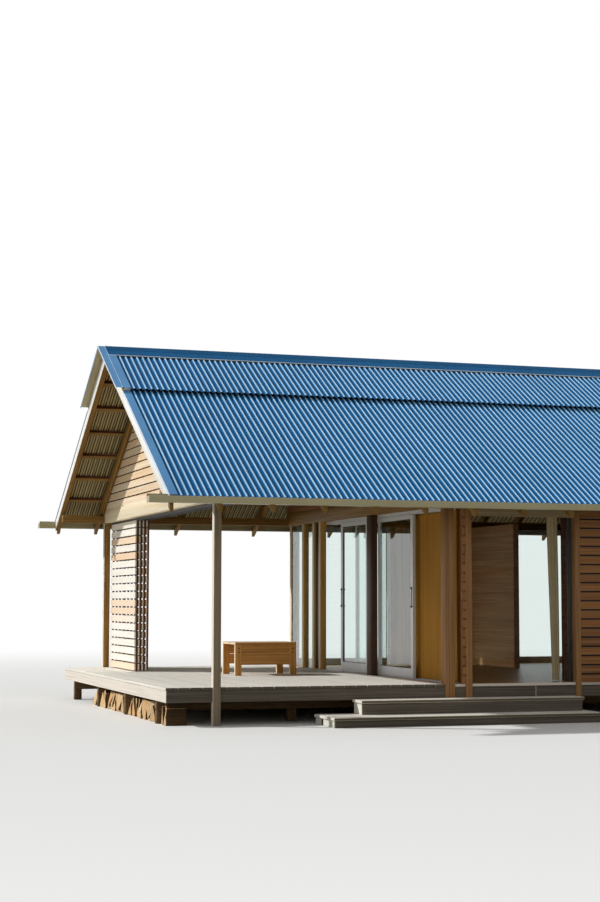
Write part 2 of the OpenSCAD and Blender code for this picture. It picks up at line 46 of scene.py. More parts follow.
# levels shared by the pieces, in metres
house = {"ridgeZ": 4.727, "slope": math.radians(30), "deckZ": 0.44, "beamZ": 2.59, "glazedX": -1.773}
slopeSin, slopeCos = math.sin(house["slope"]), math.cos(house["slope"])


def roofZ(y, up=0.0):
    # height of the roof plane at a distance y from the ridge, 'up' square above the purlins
    return house["ridgeZ"] - abs(y) * math.tan(house["slope"]) + up / slopeCos


# the camera stands where the photograph was taken
camera = {"place": (-9.886, -22.5, 1.430), "turn": (94.96, -0.09, -17.96), "lens": 68.97, "sensor": 36,
          "far": 300}
bpy.ops.object.camera_add(location=camera["place"], rotation=[math.radians(a) for a in camera["turn"]])
eye = bpy.context.active_object
eye.name = "houseCamera"
eye.data.lens = camera["lens"]
eye.data.sensor_width = camera["sensor"]
eye.data.clip_end = camera["far"]
bpy.context.scene.camera = eye
print("camera set")


# small tools
def deselectAll():
    for other in list(bpy.context.selected_objects):
        other.select_set(False)


def activate(obj):
    deselectAll()
    obj.select_set(True)
    bpy.context.view_layer.objects.active = obj


def settle(obj):
    # puts an object's place, turn and scale into its mesh
    activate(obj)
    bpy.ops.object.transform_apply(location=True, rotation=True, scale=True)
    return obj


def copyOf(obj, matrix=None):
    # a copy with its own mesh
    twin = obj.copy()
    twin.data = obj.data.copy()
    twin.hide_viewport = twin.hide_render = False
    bpy.context.scene.collection.objects.link(twin)
    if matrix is not None:
        twin.data.transform(matrix)
        if matrix.determinant() < 0:
            twin.data.flip_normals()
    return twin


def joinAll(parts, name):
    activate(parts[0])
    for part in parts[1:]:
        part.select_set(True)
    if len(parts) > 1:
        bpy.ops.object.join()
    piece = bpy.context.active_object
    piece.name = piece.data.name = name
    return piece


def editAll(obj, operator, **settings):
    # runs one edit mode operator on the whole mesh
    activate(obj)
    bpy.ops.object.mode_set(mode="EDIT")
    bpy.ops.mesh.select_all(action="SELECT")
    operator(**settings)
    bpy.ops.object.mode_set(mode="OBJECT")


def pullOut(*step):
    bpy.ops.mesh.extrude_region_move(TRANSFORM_OT_translate={"value": step})


def addModifier(obj, kind, **settings):
    activate(obj)
    modifier = obj.modifiers.new(kind.lower(), kind)
    for key, value in settings.items():
        setattr(modifier, key, value)
    bpy.ops.object.modifier_apply(modifier=modifier.name)


def easeEdges(obj, width, segments=1):
    # planed arrises, never knife sharp
    addModifier(obj, "BEVEL", width=width, segments=segments, limit_method="ANGLE",
                angle_limit=math.radians(35), use_clamp_overlap=True)


def smoothShade(obj, degrees):
    activate(obj)
    bpy.ops.object.shade_smooth_by_angle(angle=math.radians(degrees))


def addBlock(low, high):
    deselectAll()
    low, high = Vector(low), Vector(high)
    bpy.ops.mesh.primitive_cube_add(size=1, location=(low + high) / 2)
    block = bpy.context.active_object
    block.scale = high - low
    return settle(block)


def addDisc(vertices, radius, depth, place, turn=(0, 0, 0)):
    deselectAll()
    bpy.ops.mesh.primitive_cylinder_add(vertices=vertices, radius=radius, depth=depth, location=place,
                                        rotation=turn)
    return bpy.context.active_object


def cutOff(obj, point, normal):
    # saws off all that lies beyond a plane and closes the cut
    editAll(obj, bpy.ops.mesh.bisect, plane_co=point, plane_no=normal, use_fill=True, clear_outer=True)


def numberBoards(obj, seed, tilt=0.0, axis=None):
    # every loose board gets its own grain frame (long side first, a chance offset) and its own tone
    mesh = obj.data
    parent = list(range(len(mesh.vertices)))

    def root(i):
        while parent[i] != i:
            parent[i] = parent[parent[i]]
            i = parent[i]
        return i

    for edge in mesh.edges:
        a, b = root(edge.vertices[0]), root(edge.vertices[1])
        if a != b:
            parent[a] = b
    groups = {}
    for i in range(len(mesh.vertices)):
        groups.setdefault(root(i), []).append(i)
    turn = Matrix.Rotation(tilt, 3, "X")
    mesh.attributes.new("grain", "FLOAT_VECTOR", "POINT")
    mesh.attributes.new("tone", "FLOAT", "POINT")
    grain, tone = mesh.attributes["grain"], mesh.attributes["tone"]
    dice = random.Random(seed)
    for key in sorted(groups):
        spots = [turn @ mesh.vertices[i].co for i in groups[key]]
        size = [max(s[k] for s in spots) - min(s[k] for s in spots) for k in range(3)]
        order = sorted(range(3), key=lambda k: -size[k])
        if axis is not None:
            order = [axis] + [k for k in order if k != axis]
        shift = (dice.uniform(0, 40), dice.uniform(0, 9), dice.uniform(0, 9))
        shade = dice.random()
        for i, spot in zip(groups[key], spots):
            grain.data[i].vector = [spot[order[k]] + shift[k] for k in range(3)]
            tone.data[i].value = shade


def makeBoards(name, boxes, ease, seed, axis=None, cutters=(), planes=()):
    # one sawn board, copied to every place in the list
    pattern = addBlock((-0.5, -0.5, -0.5), (0.5, 0.5, 0.5))
    parts = []
    for low, high in boxes:
        low, high = Vector(low), Vector(high)
        place = Matrix.Translation((low + high) / 2) @ Matrix.Diagonal((*(high - low), 1))
        parts.append(copyOf(pattern, place))
    bpy.data.objects.remove(pattern)
    piece = joinAll(parts, name)
    for cutter in cutters:
        addModifier(piece, "BOOLEAN", operation="DIFFERENCE", object=cutter, solver="EXACT")
        bpy.data.objects.remove(cutter)
    for point, normal in planes:
        cutOff(piece, point, normal)
    easeEdges(piece, ease)
    numberBoards(piece, seed, axis=axis)
    return piece


def drawProfile(name, points, x0, x1, thickness, offset):
    # a folded metal section: one vertex drawn out edge by edge in YZ, then pulled along X
    deselectAll()
    bpy.ops.mesh.primitive_plane_add(size=0.001, location=(0, 0, 0))
    piece = bpy.context.active_object
    bpy.ops.object.mode_set(mode="EDIT")
    bpy.ops.mesh.select_all(action="SELECT")
    bpy.ops.mesh.merge(type="CENTER")
    bpy.ops.transform.translate(value=(x0, *points[0]))
    for last, point in zip(points, points[1:]):
        pullOut(0, point[0] - last[0], point[1] - last[1])
    bpy.ops.mesh.select_all(action="SELECT")
    pullOut(x1 - x0, 0, 0)
    bpy.ops.object.mode_set(mode="OBJECT")
    editAll(piece, bpy.ops.mesh.normals_make_consistent, inside=False)
    piece.name = name
    addModifier(piece, "SOLIDIFY", thickness=thickness, offset=offset, use_even_offset=True)
    return piece


def usePiece(obj, slotName, material, *replaced, body="house"):
    obj.data.materials.clear()
    obj.data.materials.append(material)
    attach(obj, body)
    if replaced:
        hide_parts(*replaced)
    return obj


def paintWhere(obj, material, test):
    # a second material on the faces that the test picks by their centre (c) and normal (n)
    obj.data.materials.append(material)
    last = len(obj.data.materials) - 1
    for face in obj.data.polygons:
        if test(face.center, face.normal):
            face.material_index = last


def mergedCopy(node):
    # a copy of the CAD solid, off its body and with its loose triangles merged
    piece = copyOf(nodes[node])
    for key in [key for key in piece.keys() if key.startswith("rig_")]:
        del piece[key]
    piece.parent = None
    editAll(piece, bpy.ops.mesh.remove_doubles, threshold=0.0002)
    editAll(piece, bpy.ops.mesh.dissolve_limited, angle_limit=math.radians(0.5))
    return piece


def dress(node, material, slotName, ease, seed, tilt=0.0, segments=1):
    # the CAD solid with its edges eased and its boards numbered
    piece = mergedCopy(node)
    piece.name = node + "Dressed"
    for name in [a.name for a in piece.data.attributes if a.name.startswith("sharp")]:
        piece.data.attributes.remove(piece.data.attributes[name])
    easeEdges(piece, ease, segments)
    numberBoards(piece, seed, tilt)
    return usePiece(piece, slotName, material, node)


# materials
def colour(code):
    # sRGB hex to the linear colour that a shader takes
    parts = [int(code[i:i + 2], 16) / 255 for i in (1, 3, 5)]
    return [c / 12.92 if c <= 0.04045 else ((c + 0.055) / 1.055) ** 2.4 for c in parts] + [1.0]


def connect(tree, node, inputs):
    # a node given as a value stands for its first output; a plain value is set on the socket itself
    for key, value in inputs.items():
        if isinstance(value, bpy.types.Node):
            value = value.outputs[0]
        if isinstance(value, bpy.types.NodeSocket):
            tree.links.new(value, node.inputs[key])
        else:
            node.inputs[key].default_value = value
    return node


def addNode(tree, kind, inputs=None, **settings):
    node = tree.nodes.new("ShaderNode" + kind)
    for key, value in settings.items():
        setattr(node, key, value)
    return connect(tree, node, inputs or {})


def setStops(node, *stops):
    # places and colours on a colour ramp, which starts with two
    elements = node.color_ramp.elements
    for k, (place, code) in enumerate(stops):
        stop = elements[k] if k < 2 else elements.new(place)
        stop.position, stop.color = place, colour(code)


def newMaterial(name):
    material = bpy.data.materials.new(name)
    material.use_nodes = True
    return material, material.node_tree, material.node_tree.nodes["Principled BSDF"]


# what most timbers share: rings to the metre, strength of knots, board tones, fibres and odd boards, and surface
timberLook = {"ring": 46.0, "knot": 0.1, "spread": 0.10, "fibre": 0.07, "odd": 0.4, "rough": 0.5,
              "relief": 0.3, "shine": 0.25}


def makeTimber(name, tones, **look):
    # sawn or planed board: long growth streaks, fine fibres, a tone of its own for every board
    # the tones are dark, middle and pale wood, the odd boards and the knots
    look = {**timberLook, **look}
    dark, middle, pale, oddTone, knotTone = tones.split()
    material, tree, shader = newMaterial(name)
    grain = addNode(tree, "Attribute", attribute_name="grain").outputs["Vector"]
    tone = addNode(tree, "Attribute", attribute_name="tone").outputs["Fac"]
    # growth rings about 12 mm apart over 1.6 m runs
    stretch = addNode(tree, "Mapping", {"Vector": grain, "Scale": (0.6, look["ring"], look["ring"])})
    rings = addNode(tree, "TexNoise", {"Vector": stretch, "Scale": 1.0, "Detail": 4.0, "Roughness": 0.62,
                                       "Distortion": 0.7})
    # fibres 2 mm wide, drawn coarser than life so that they show
    fine = addNode(tree, "Mapping", {"Vector": grain, "Scale": (9.0, 420.0, 420.0)})
    fibres = addNode(tree, "TexNoise", {"Vector": fine, "Scale": 1.0, "Detail": 2.0, "Roughness": 0.6})
    # knots 20 to 30 mm across, about two a metre
    sparse = addNode(tree, "Mapping", {"Vector": grain, "Scale": (1.6, 6.0, 6.0)})
    knots = addNode(tree, "TexVoronoi", {"Vector": sparse, "Scale": 1.0})
    knot = addNode(tree, "MapRange", {"Value": knots, "From Min": 0.05, "From Max": 0.13,
                                      "To Min": look["knot"], "To Max": 0.0}, interpolation_type="SMOOTHSTEP")
    ramp = addNode(tree, "ValToRGB", {"Fac": rings})
    setStops(ramp, (0.30, dark), (0.72, pale), (0.5, middle))
    shade = addNode(tree, "MapRange", {"Value": tone, "To Min": 1.0 - look["spread"],
                                       "To Max": 1.0 + look["spread"]})
    fibreShade = addNode(tree, "MapRange", {"Value": fibres, "From Min": 0.25, "From Max": 0.75,
                                            "To Min": 1.0 - look["fibre"], "To Max": 1.0 + look["fibre"]})
    both = addNode(tree, "Math", {0: shade, 1: fibreShade}, operation="MULTIPLY")
    tinted = addNode(tree, "VectorMath", {0: ramp, "Scale": both}, operation="SCALE")
    # some boards lean to another heartwood colour
    odd = addNode(tree, "MapRange", {"Value": tone, "From Min": 0.66, "From Max": 0.9, "To Max": look["odd"]},
                  interpolation_type="SMOOTHSTEP")
    mixed = addNode(tree, "Mix", {"Factor": odd, 6: tinted, 7: colour(oddTone)}, data_type="RGBA")
    knotted = addNode(tree, "Mix", {"Factor": knot, 6: mixed.outputs[2], 7: colour(knotTone)},
                      data_type="RGBA")
    rough = addNode(tree, "MapRange", {"Value": fibres, "From Min": 0.3, "From Max": 0.7,
                                       "To Min": look["rough"] - 0.08, "To Max": look["rough"] + 0.08})
    relief = addNode(tree, "Math", {0: rings, 1: 0.6, 2: fibres}, operation="MULTIPLY_ADD")
    bump = addNode(tree, "Bump", {"Strength": look["relief"], "Distance": 0.0012, "Height": relief})
    connect(tree, shader, {"Base Color": knotted.outputs[2], "Roughness": rough, "Normal": bump, "IOR": 1.5,
                           "Specular IOR Level": look["shine"]})
    return material


# treated pine under the deck: rough sawn, dark brown, matt, darker still as painted shade under the deck
pineFraming = makeTimber("pineFramingSawn", "#4d3a24 #6a5133 #846845 #5d5236 #35240f", odd=0.35, ring=42.0,
                         knot=0.5, spread=0.16, fibre=0.10, rough=0.74, relief=0.5)
# roof timbers: pine gone golden under an oil finish
roofTimber = makeTimber("pineRoofTimberOiled", "#6f4f20 #8f6a2e #ab8644 #7a5f30 #46290f", ring=40.0, knot=0.5,
                        spread=0.16, fibre=0.08, rough=0.6, relief=0.35)
# laminated beam over the gable opening: new pine, cream, with brown knots
paleTimber = makeTimber("pineBeamPale", "#ead2a4 #f4e3c2 #faefd8 #eed9b0 #7b5028", odd=0.3, ring=30.0, knot=0.85,
                        spread=0.05, fibre=0.05, rough=0.55)
# posts of the deck and of the glazed wall: planed laminated pine, tan, satin
postTimber = makeTimber("pinePostStained", "#c08f48 #e6b668 #f0c884 #dca95a #5f4022", knot=0.25)
# posts of the front wall: the same pine with a reddish brown stain
redPostTimber = makeTimber("pinePostRedBrown", "#785434 #a07448 #b2885a #a87a4e #331c0e", knot=0.25)
# posts out in the weather: the same pine gone grey
greyPostTimber = makeTimber("pinePostWeathered", "#6e6350 #887c69 #9b8f7a #a08e76 #5b4c3c", knot=0.25,
                            spread=0.08, fibre=0.08, rough=0.7, relief=0.4)
# bark side of the firewood, laid also as painted shade on faces that the light misses
barkAndShadeTimber = makeTimber("pineBarkAndPaintedShade", "#3a281a #57402a #6e553a #4c3c2a #22170d", odd=0.5, ring=60.0, knot=0.3,
                        spread=0.2, fibre=0.2, rough=0.9, relief=1.5)
# double post in the middle of the glazed wall: dark brown stain
darkPostTimber = makeTimber("pinePostDarkBrown", "#35251b #4b3527 #5f4636 #523a28 #20140c", odd=0.3, knot=0.2,
                            spread=0.08)
# decking: brushed pine gone silver in salt air, very matt
deckTimber = makeTimber("pineDeckingWeathered", "#d8d2c6 #e9e5da #f2efe6 #e0d8c8 #958a78", odd=0.5, ring=50.0,
                        knot=0.3, spread=0.07, rough=0.8, relief=0.6)
# fascia boards under the deck's edge: the same weathered pine, pale; the front and back ones take the darker copy
# below
fasciaTimber = makeTimber("pineFasciaWeathered", "#d6cabb #eae0d4 #f3ebe2 #e2d3c0 #8d7a66", odd=0.5, knot=0.35,
                          spread=0.07, rough=0.78, relief=0.55)
# fascias, risers and sawn ends on the front, where the sun is off them: the same pine made darker and browner as
# painted shade
frontShadeTimber = makeTimber("pineWeatheredPaintedShade", "#4b443c #625a50 #776e62 #74644f #4d4032", odd=0.5, knot=0.35,
                         spread=0.08, fibre=0.08, rough=0.78, relief=0.55)
# boards of the gable that faces the sun, used on the far gable too: sawn cedar made cream and peach as painted
# sunlight
gableTimber = makeTimber("cedarBoardsPaintedSunlight", "#e0ba8e #f2dbbb #faedda #efc89c #7d4d28", odd=0.6, ring=52.0,
                         knot=0.12, spread=0.06, fibre=0.06, rough=0.66, relief=0.45)
# wall slats and the cross gable: sawn cedar, brown, each board its own tone
cedarBoards = makeTimber("cedarBoardsSawn", "#6d4626 #986840 #b38355 #a06a3c #3f2410", odd=0.5, ring=52.0,
                         knot=0.15, spread=0.16, fibre=0.08, rough=0.66, relief=0.45)
# screen slats: the same cedar made nearly white on its outer face as painted sunlight
screenTimber = makeTimber("cedarSlatsPaintedSunlight", "#f0e6d6 #f9f3e8 #fdfaf4 #f2cda6 #8d5d38", odd=0.85, ring=52.0,
                          spread=0.05, fibre=0.05, rough=0.62, relief=0.4)
# stiles and other cedar out of the sun: dark brown stain, and darker still as painted shade
stileTimber = makeTimber("cedarStainedAndPaintedShade", "#3d2110 #5b341a #7a4a27 #6a3d1d #2b150a", ring=48.0, spread=0.14,
                         fibre=0.08, rough=0.55, relief=0.35)
# boards of the inner wall and the linings: clear sealed cedar, satin
liningTimber = makeTimber("cedarLiningSealed", "#bd8c66 #deb388 #ecc9a2 #cf9a62 #54321a", odd=0.5, ring=44.0,
                          knot=0.15, spread=0.12, fibre=0.06, rough=0.45, relief=0.25)
# header over the front doorway: grey brown fibre board
headerTimber = makeTimber("headerBoardStained", "#8a7358 #a38c6e #b8a387 #a08560 #5f4a32", ring=44.0, spread=0.08,
                          fibre=0.05, rough=0.6, relief=0.25)
# floor inside: sealed matai boards, satin
floorTimber = makeTimber("floorBoardsSealed", "#7d5832 #9b7346 #b48c5c #a2743e #50331b", fibre=0.05, rough=0.35,
                         relief=0.2)
# plywood: rotary cut face with wide cathedral figure, golden under a clear coat
plywood = makeTimber("plywoodClearCoated", "#85571a #a16f22 #ad7d2e #d09a48 #76481f", odd=0.3, ring=14.0,
                     knot=0.12, spread=0.05, fibre=0.04, rough=0.55, relief=0.15, shine=0.05)
# table: oiled macrocarpa, orange brown
tableTimber = makeTimber("macrocarpaOiled", "#9d682e #c28942 #daa45e #ca9652 #5f3615", odd=0.5, ring=40.0,
                         knot=0.4, fibre=0.06, rough=0.42)
# firewood: split pine, raw and fibrous, cream to orange
splitTimber = makeTimber("pineFirewoodSplit", "#bf8d55 #e2bf8e #f3dfbd #c98f52 #6b4420", odd=0.6, ring=70.0,
                         knot=0.3, spread=0.2, fibre=0.14, rough=0.85, relief=1.0)


def makePaintedBoard(name, fresh, worn, rough):
    # paint on wood: an even coat with a faint brush line, and grime low in the corners
    material, tree, shader = newMaterial(name)
    grain = addNode(tree, "Attribute", attribute_name="grain").outputs["Vector"]
    brush = addNode(tree, "Mapping", {"Vector": grain, "Scale": (3.0, 160.0, 160.0)})
    lines = addNode(tree, "TexNoise", {"Vector": brush, "Scale": 1.0, "Detail": 3.0})
    spots = addNode(tree, "TexNoise", {"Vector": grain, "Scale": 3.0, "Detail": 5.0, "Roughness": 0.65})
    ramp = addNode(tree, "ValToRGB", {"Fac": spots})
    setStops(ramp, (0.35, worn), (0.6, fresh))
    uneven = addNode(tree, "MapRange", {"Value": spots, "To Min": rough + 0.08, "To Max": rough - 0.08})
    bump = addNode(tree, "Bump", {"Strength": 0.25, "Distance": 0.0006, "Height": lines})
    connect(tree, shader, {"Base Color": ramp, "Roughness": uneven, "Normal": bump})
    return material


# barge boards: white exterior paint on primed pine, semi gloss
bargePaint = makePaintedBoard("whitePaintOnBoard", fresh="#faf9f6", worn="#efede6", rough=0.38)

steelLook = {"rough": 0.45, "metal": 0.0, "gloss": 0.02, "perWave": 0}


def makeRoofSteel(name, **look):
    # roll formed steel, factory painted; where it is waved the colour follows the corrugations as painted light:
    # pale on the crests as a painted highlight, deep in the troughs as painted shade
    look = {**steelLook, **look}
    material, tree, shader = newMaterial(name)
    place = addNode(tree, "TexCoord").outputs["Object"]
    drift = addNode(tree, "TexNoise", {"Vector": place, "Scale": 0.9, "Detail": 4.0, "Roughness": 0.6})
    stretch = addNode(tree, "Mapping", {"Vector": place, "Scale": (46.0, 1.1, 1.1)})
    streak = addNode(tree, "TexNoise", {"Vector": stretch, "Scale": 1.0, "Detail": 3.0})
    share = drift
    if look["perWave"]:
        # one corrugation is 76.2 mm wide, and a crest lies on the middle line of the house
        axes = addNode(tree, "SeparateXYZ", {0: place})
        turns = addNode(tree, "Math", {0: axes, 1: look["perWave"] * 2 * math.pi / 0.0762, 2: look["lean"]},
                        operation="MULTIPLY_ADD")
        wave = addNode(tree, "Math", {0: turns}, operation="COSINE")
        share = addNode(tree, "MapRange", {"Value": wave, "From Min": look["paleFrom"],
                                           "From Max": look["paleTo"]}, interpolation_type="SMOOTHSTEP")
    base = addNode(tree, "Mix", {"Factor": share, 6: colour(look["deep"]), 7: colour(look["pale"])},
                   data_type="RGBA")
    limits = {"From Min": 0.3, "From Max": 0.7}
    shade = addNode(tree, "MapRange", {"Value": streak, **limits, "To Min": 0.9, "To Max": 1.08})
    second = addNode(tree, "MapRange", {"Value": drift, **limits, "To Min": 0.94, "To Max": 1.06})
    both = addNode(tree, "Math", {0: shade, 1: second}, operation="MULTIPLY")
    tinted = addNode(tree, "VectorMath", {0: base.outputs[2], "Scale": both}, operation="SCALE")
    rough = addNode(tree, "MapRange", {"Value": streak, "To Min": look["rough"] - 0.06,
                                       "To Max": look["rough"] + 0.08})
    connect(tree, shader, {"Base Color": tinted, "Roughness": rough, "Metallic": look["metal"],
                           "Specular IOR Level": look["gloss"]})
    return material


# the pale crests lean to the flank that faces the key light: a painted highlight, with painted shade in the
# troughs
roofSteel = makeRoofSteel("roofSteelCorrugatedPaintedHighlights", deep="#07609a", pale="#bbe2ff", perWave=1, lean=0.35,
                          paleFrom=0.42, paleTo=1.0, gloss=0.03)
capSteel = makeRoofSteel("roofSteelFoldedPainted", deep="#0d5a8e", pale="#16659a")
stripSteel = makeRoofSteel("ridgeStripPainted", deep="#0a5080", pale="#105c8b")
flashingSteel = makeRoofSteel("flashingSteelFolded", deep="#4e8cc3", pale="#63a2d6", rough=0.42, metal=0.05,
                              gloss=0.08)
# backing coat on the underside of all roof steel: a thin khaki primer, with two stripes to every corrugation
# painted on as highlight and shade
backingCoat = makeRoofSteel("roofSteelBackingCoatPaintedStripes", deep="#5a4c30", pale="#bcae86", perWave=2, lean=1.5,
                            paleFrom=-0.8, paleTo=0.8, rough=0.6, gloss=0.1)
# backing coat under the flashings and the cap: the primer made cream, partly a painted reflection of the bright
# ground below
foldBackingCoat = makeRoofSteel("flashingBackingCoatPaintedReflection", deep="#d2c29c", pale="#e4d6b4", rough=0.6, gloss=0.1)
# painted highlights on the edges and folds of the flashings: a pale band where the light catches them
foldHighlight = makeRoofSteel("flashingSteelPaintedHighlight", deep="#c3d2e2", pale="#dde7f2", rough=0.4, gloss=0.3)
# painted shade for the outer faces of the far slope's flashings
foldShade = makeRoofSteel("flashingSteelPaintedShade", deep="#59636b", pale="#6b757d", rough=0.5, gloss=0.2)


def makeMetal(name, dark, pale, rough, metal, cloud):
    # metal, or rubber or felt beside it, with a finish: a faint cloud in its colour and roughness
    material, tree, shader = newMaterial(name)
    place = addNode(tree, "TexCoord").outputs["Object"]
    drift = addNode(tree, "TexNoise", {"Vector": place, "Scale": cloud, "Detail": 4.0})
    tint = addNode(tree, "Mix", {"Factor": drift, 6: colour(dark), 7: colour(pale)}, data_type="RGBA")
    uneven = addNode(tree, "MapRange", {"Value": drift, "To Min": rough - 0.05, "To Max": rough + 0.05})
    connect(tree, shader, {"Base Color": tint.outputs[2], "Roughness": uneven, "Metallic": metal})
    return material


gutterSteel = makeMetal("gutterSteelKhakiPaint", "#968d69", "#afa680", rough=0.35, metal=0.15, cloud=2.0)
aluminium = makeMetal("aluminiumPowderCoatedPale", "#d3d6d8", "#e6e8ea", rough=0.34, metal=0.2, cloud=5.0)
# dark aluminium, made darker and browner as painted shade on the parked leaves and the screen track
darkAluminium = makeMetal("aluminiumDarkAndPaintedShade", "#2a2724", "#38342f", rough=0.42, metal=0.35, cloud=6.0)
pullSteel = makeMetal("pullSteelDarkSatin", "#33373d", "#454a51", rough=0.32, metal=0.6, cloud=8.0)
steelBright = makeMetal("stainlessSteelBrushed", "#8f9296", "#b4b7bb", rough=0.28, metal=1.0, cloud=8.0)
packing = makeMetal("ventPackingDark", "#14171c", "#20252c", rough=0.8, metal=0.0, cloud=6.0)
gasket = makeMetal("rubberGasketBlack", "#17181a", "#222426", rough=0.7, metal=0.0, cloud=30.0)

# float glass 10 mm: clear, a green breath in its edge; lamps shine through it
clearGlass, tree, shader = newMaterial("floatGlassClear")
connect(tree, shader, {"Base Color": colour("#e9f4f1"), "Roughness": 0.0, "IOR": 1.5,
                       "Transmission Weight": 1.0})
path = addNode(tree, "LightPath")
clear = addNode(tree, "BsdfTransparent", {"Color": colour("#e9f4f1")})
mix = addNode(tree, "MixShader", {0: path.outputs["Is Shadow Ray"], 1: shader, 2: clear})
connect(tree, tree.nodes["Material Output"], {"Surface": mix})

# linen curtain: plain weave of 1.6 mm threads, drawn coarser so that it shows
linenCloth, tree, shader = newMaterial("linenCurtainWoven")
place = addNode(tree, "UVMap", uv_map="cloth")
weft, warp = [addNode(tree, "TexWave", {"Vector": place, "Scale": 190.0, "Distortion": 0.6, "Detail": 1.0},
                      wave_type="BANDS", bands_direction=way).outputs["Fac"] for way in "YX"]
weave = addNode(tree, "Math", {0: weft, 1: warp}, operation="MULTIPLY")
slub = addNode(tree, "TexNoise", {"Vector": place, "Scale": 26.0, "Detail": 4.0}, noise_dimensions="2D")
mix = addNode(tree, "Mix", {"Factor": slub, 6: colour("#d9cba6"), 7: colour("#eee2bd")}, data_type="RGBA")
bump = addNode(tree, "Bump", {"Strength": 0.4, "Distance": 0.0006, "Height": weave})
connect(tree, shader, {"Base Color": mix.outputs[2], "Roughness": 0.9, "Sheen Weight": 0.25, "Normal": bump})
print("materials made:", len(bpy.data.materials))

# roof sheets, drawn flat with Y down the slope
sheets = {"wave": 0.0762, "waves": 138, "rise": 0.017, "low": 0.002, "gauge": 0.0012, "columns": 12,
          "lift": 0.045, "lapEvery": 10, "lapUp": 0.0013, "screwEvery": 3}
tiers = {"lower": {"top": 0.03, "foot": 4.265, "lift": 0.0, "screws": (1.55, 2.07, 2.58, 3.10, 3.61, 4.10)},
         "upper": {"top": 0.05, "foot": 1.346, "lift": sheets["lift"], "screws": (0.42, 0.69, 1.25)}}
wave = sheets["wave"]
half = sheets["waves"] * wave / 2
crest = sheets["low"] + sheets["rise"]


def addWaveStrip(y0, y1, lift, count, shift=0.0):
    # one corrugation: a flat strip whose columns of points are lifted to the wave, then set side by side
    deselectAll()
    bpy.ops.mesh.primitive_grid_add(x_subdivisions=sheets["columns"], y_subdivisions=1, size=1)
    strip = bpy.context.active_object
    strip.scale = (wave, y1 - y0, 1)
    mesh = settle(strip).data
    for k in range(sheets["columns"] + 1):
        x = -wave / 2 + k * wave / sheets["columns"]
        for part in (mesh.vertices, mesh.edges, mesh.polygons):
            part.foreach_set("select", [False] * len(part))
        for vertex in mesh.vertices:
            vertex.select = abs(vertex.co.x - x) < 0.0005
        bpy.ops.object.mode_set(mode="EDIT")
        up = 0.5 + 0.5 * math.cos(2 * math.pi * (x + shift) / wave)
        bpy.ops.transform.translate(value=(0, 0, sheets["rise"] * up))
        bpy.ops.object.mode_set(mode="OBJECT")
    mesh.transform(Matrix.Translation((0, (y0 + y1) / 2, sheets["low"] + lift)))
    if count > 1:
        addModifier(strip, "ARRAY", count=count, use_relative_offset=False, use_constant_offset=True,
                    constant_offset_displace=(wave, 0, 0), use_merge_vertices=True, merge_threshold=0.0004)
    return strip


def addFullWidth(y0, y1, lift):
    # troughs in the middle of each strip, so that a crest lies on the middle line of the house
    strip = addWaveStrip(y0, y1, lift, sheets["waves"], wave / 2)
    strip.data.transform(Matrix.Translation((-half + wave / 2, 0, 0)))
    return strip


def lapStrips(y0, y1, lift):
    # where two sheets overlap, the upper one's last corrugation lies on the next sheet's first
    lap = addWaveStrip(y0, y1, lift + sheets["lapUp"], 1)
    parts = [copyOf(lap, Matrix.Translation((-half + k * wave, 0, 0)))
             for k in range(sheets["lapEvery"], sheets["waves"], sheets["lapEvery"])]
    bpy.data.objects.remove(lap)
    return parts


def layOnSlope(obj, side):
    # what is drawn flat is laid on the far (1) or the front (-1) side of the roof
    turn = Matrix.Translation((0, 0, house["ridgeZ"])) @ Matrix.Rotation(-house["slope"], 4, "X")
    if side < 0:
        turn = Matrix.Diagonal((1, -1, 1, 1)) @ turn
    return settle(copyOf(obj, turn))


# a hexagon head on its washer
screw = joinAll([addDisc(10, 0.009, 0.0016, (0, 0, 0.0008)), addDisc(6, 0.0062, 0.005, (0, 0, 0.004))],
                "screwPattern")
easeEdges(screw, 0.0006)
for word, tier in tiers.items():
    size = (tier["top"], tier["foot"], tier["lift"])
    flat = joinAll([addFullWidth(*size)] + lapStrips(*size), "flatSheet")
    addModifier(flat, "SOLIDIFY", thickness=sheets["gauge"], offset=-1.0)
    smoothShade(flat, 50)
    tier["flat"] = flat
    tier["fixings"] = joinAll([copyOf(screw, Matrix.Translation((-half + k * wave, row, crest + tier["lift"])))
                               for row in tier["screws"]
                               for k in range(1, sheets["waves"], sheets["screwEvery"])], "screwRows")
for side, place in ((-1, "front"), (1, "far")):
    for word, tier in tiers.items():
        sheet = layOnSlope(tier["flat"], side)
        sheet.name = place + word.capitalize() + "RoofSheet"
        usePiece(sheet, "blue_roofing", roofSteel, place + "_" + word + "_sheet")
        # the undersides take the backing coat with its painted stripes of highlight and shade
        paintWhere(sheet, backingCoat, lambda c, n: n.z < -0.1)
        fixings = layOnSlope(tier["fixings"], side)
        fixings.name = place + word.capitalize() + "RoofScrews"
        usePiece(fixings, "blue_roofing", steelBright)
for scrap in (screw, *(tier[key] for tier in tiers.values() for key in ("flat", "fixings"))):
    bpy.data.objects.remove(scrap)
print("roof sheets laid")

# ridge cap
cap = {"wing": 0.265, "strip": 0.088, "hem": 0.012, "stripHem": 0.004, "ends": 5.327, "up": 0.0698,
       "gauge": 0.0012, "footHighlight": 0.008, "foam": 0.0145}


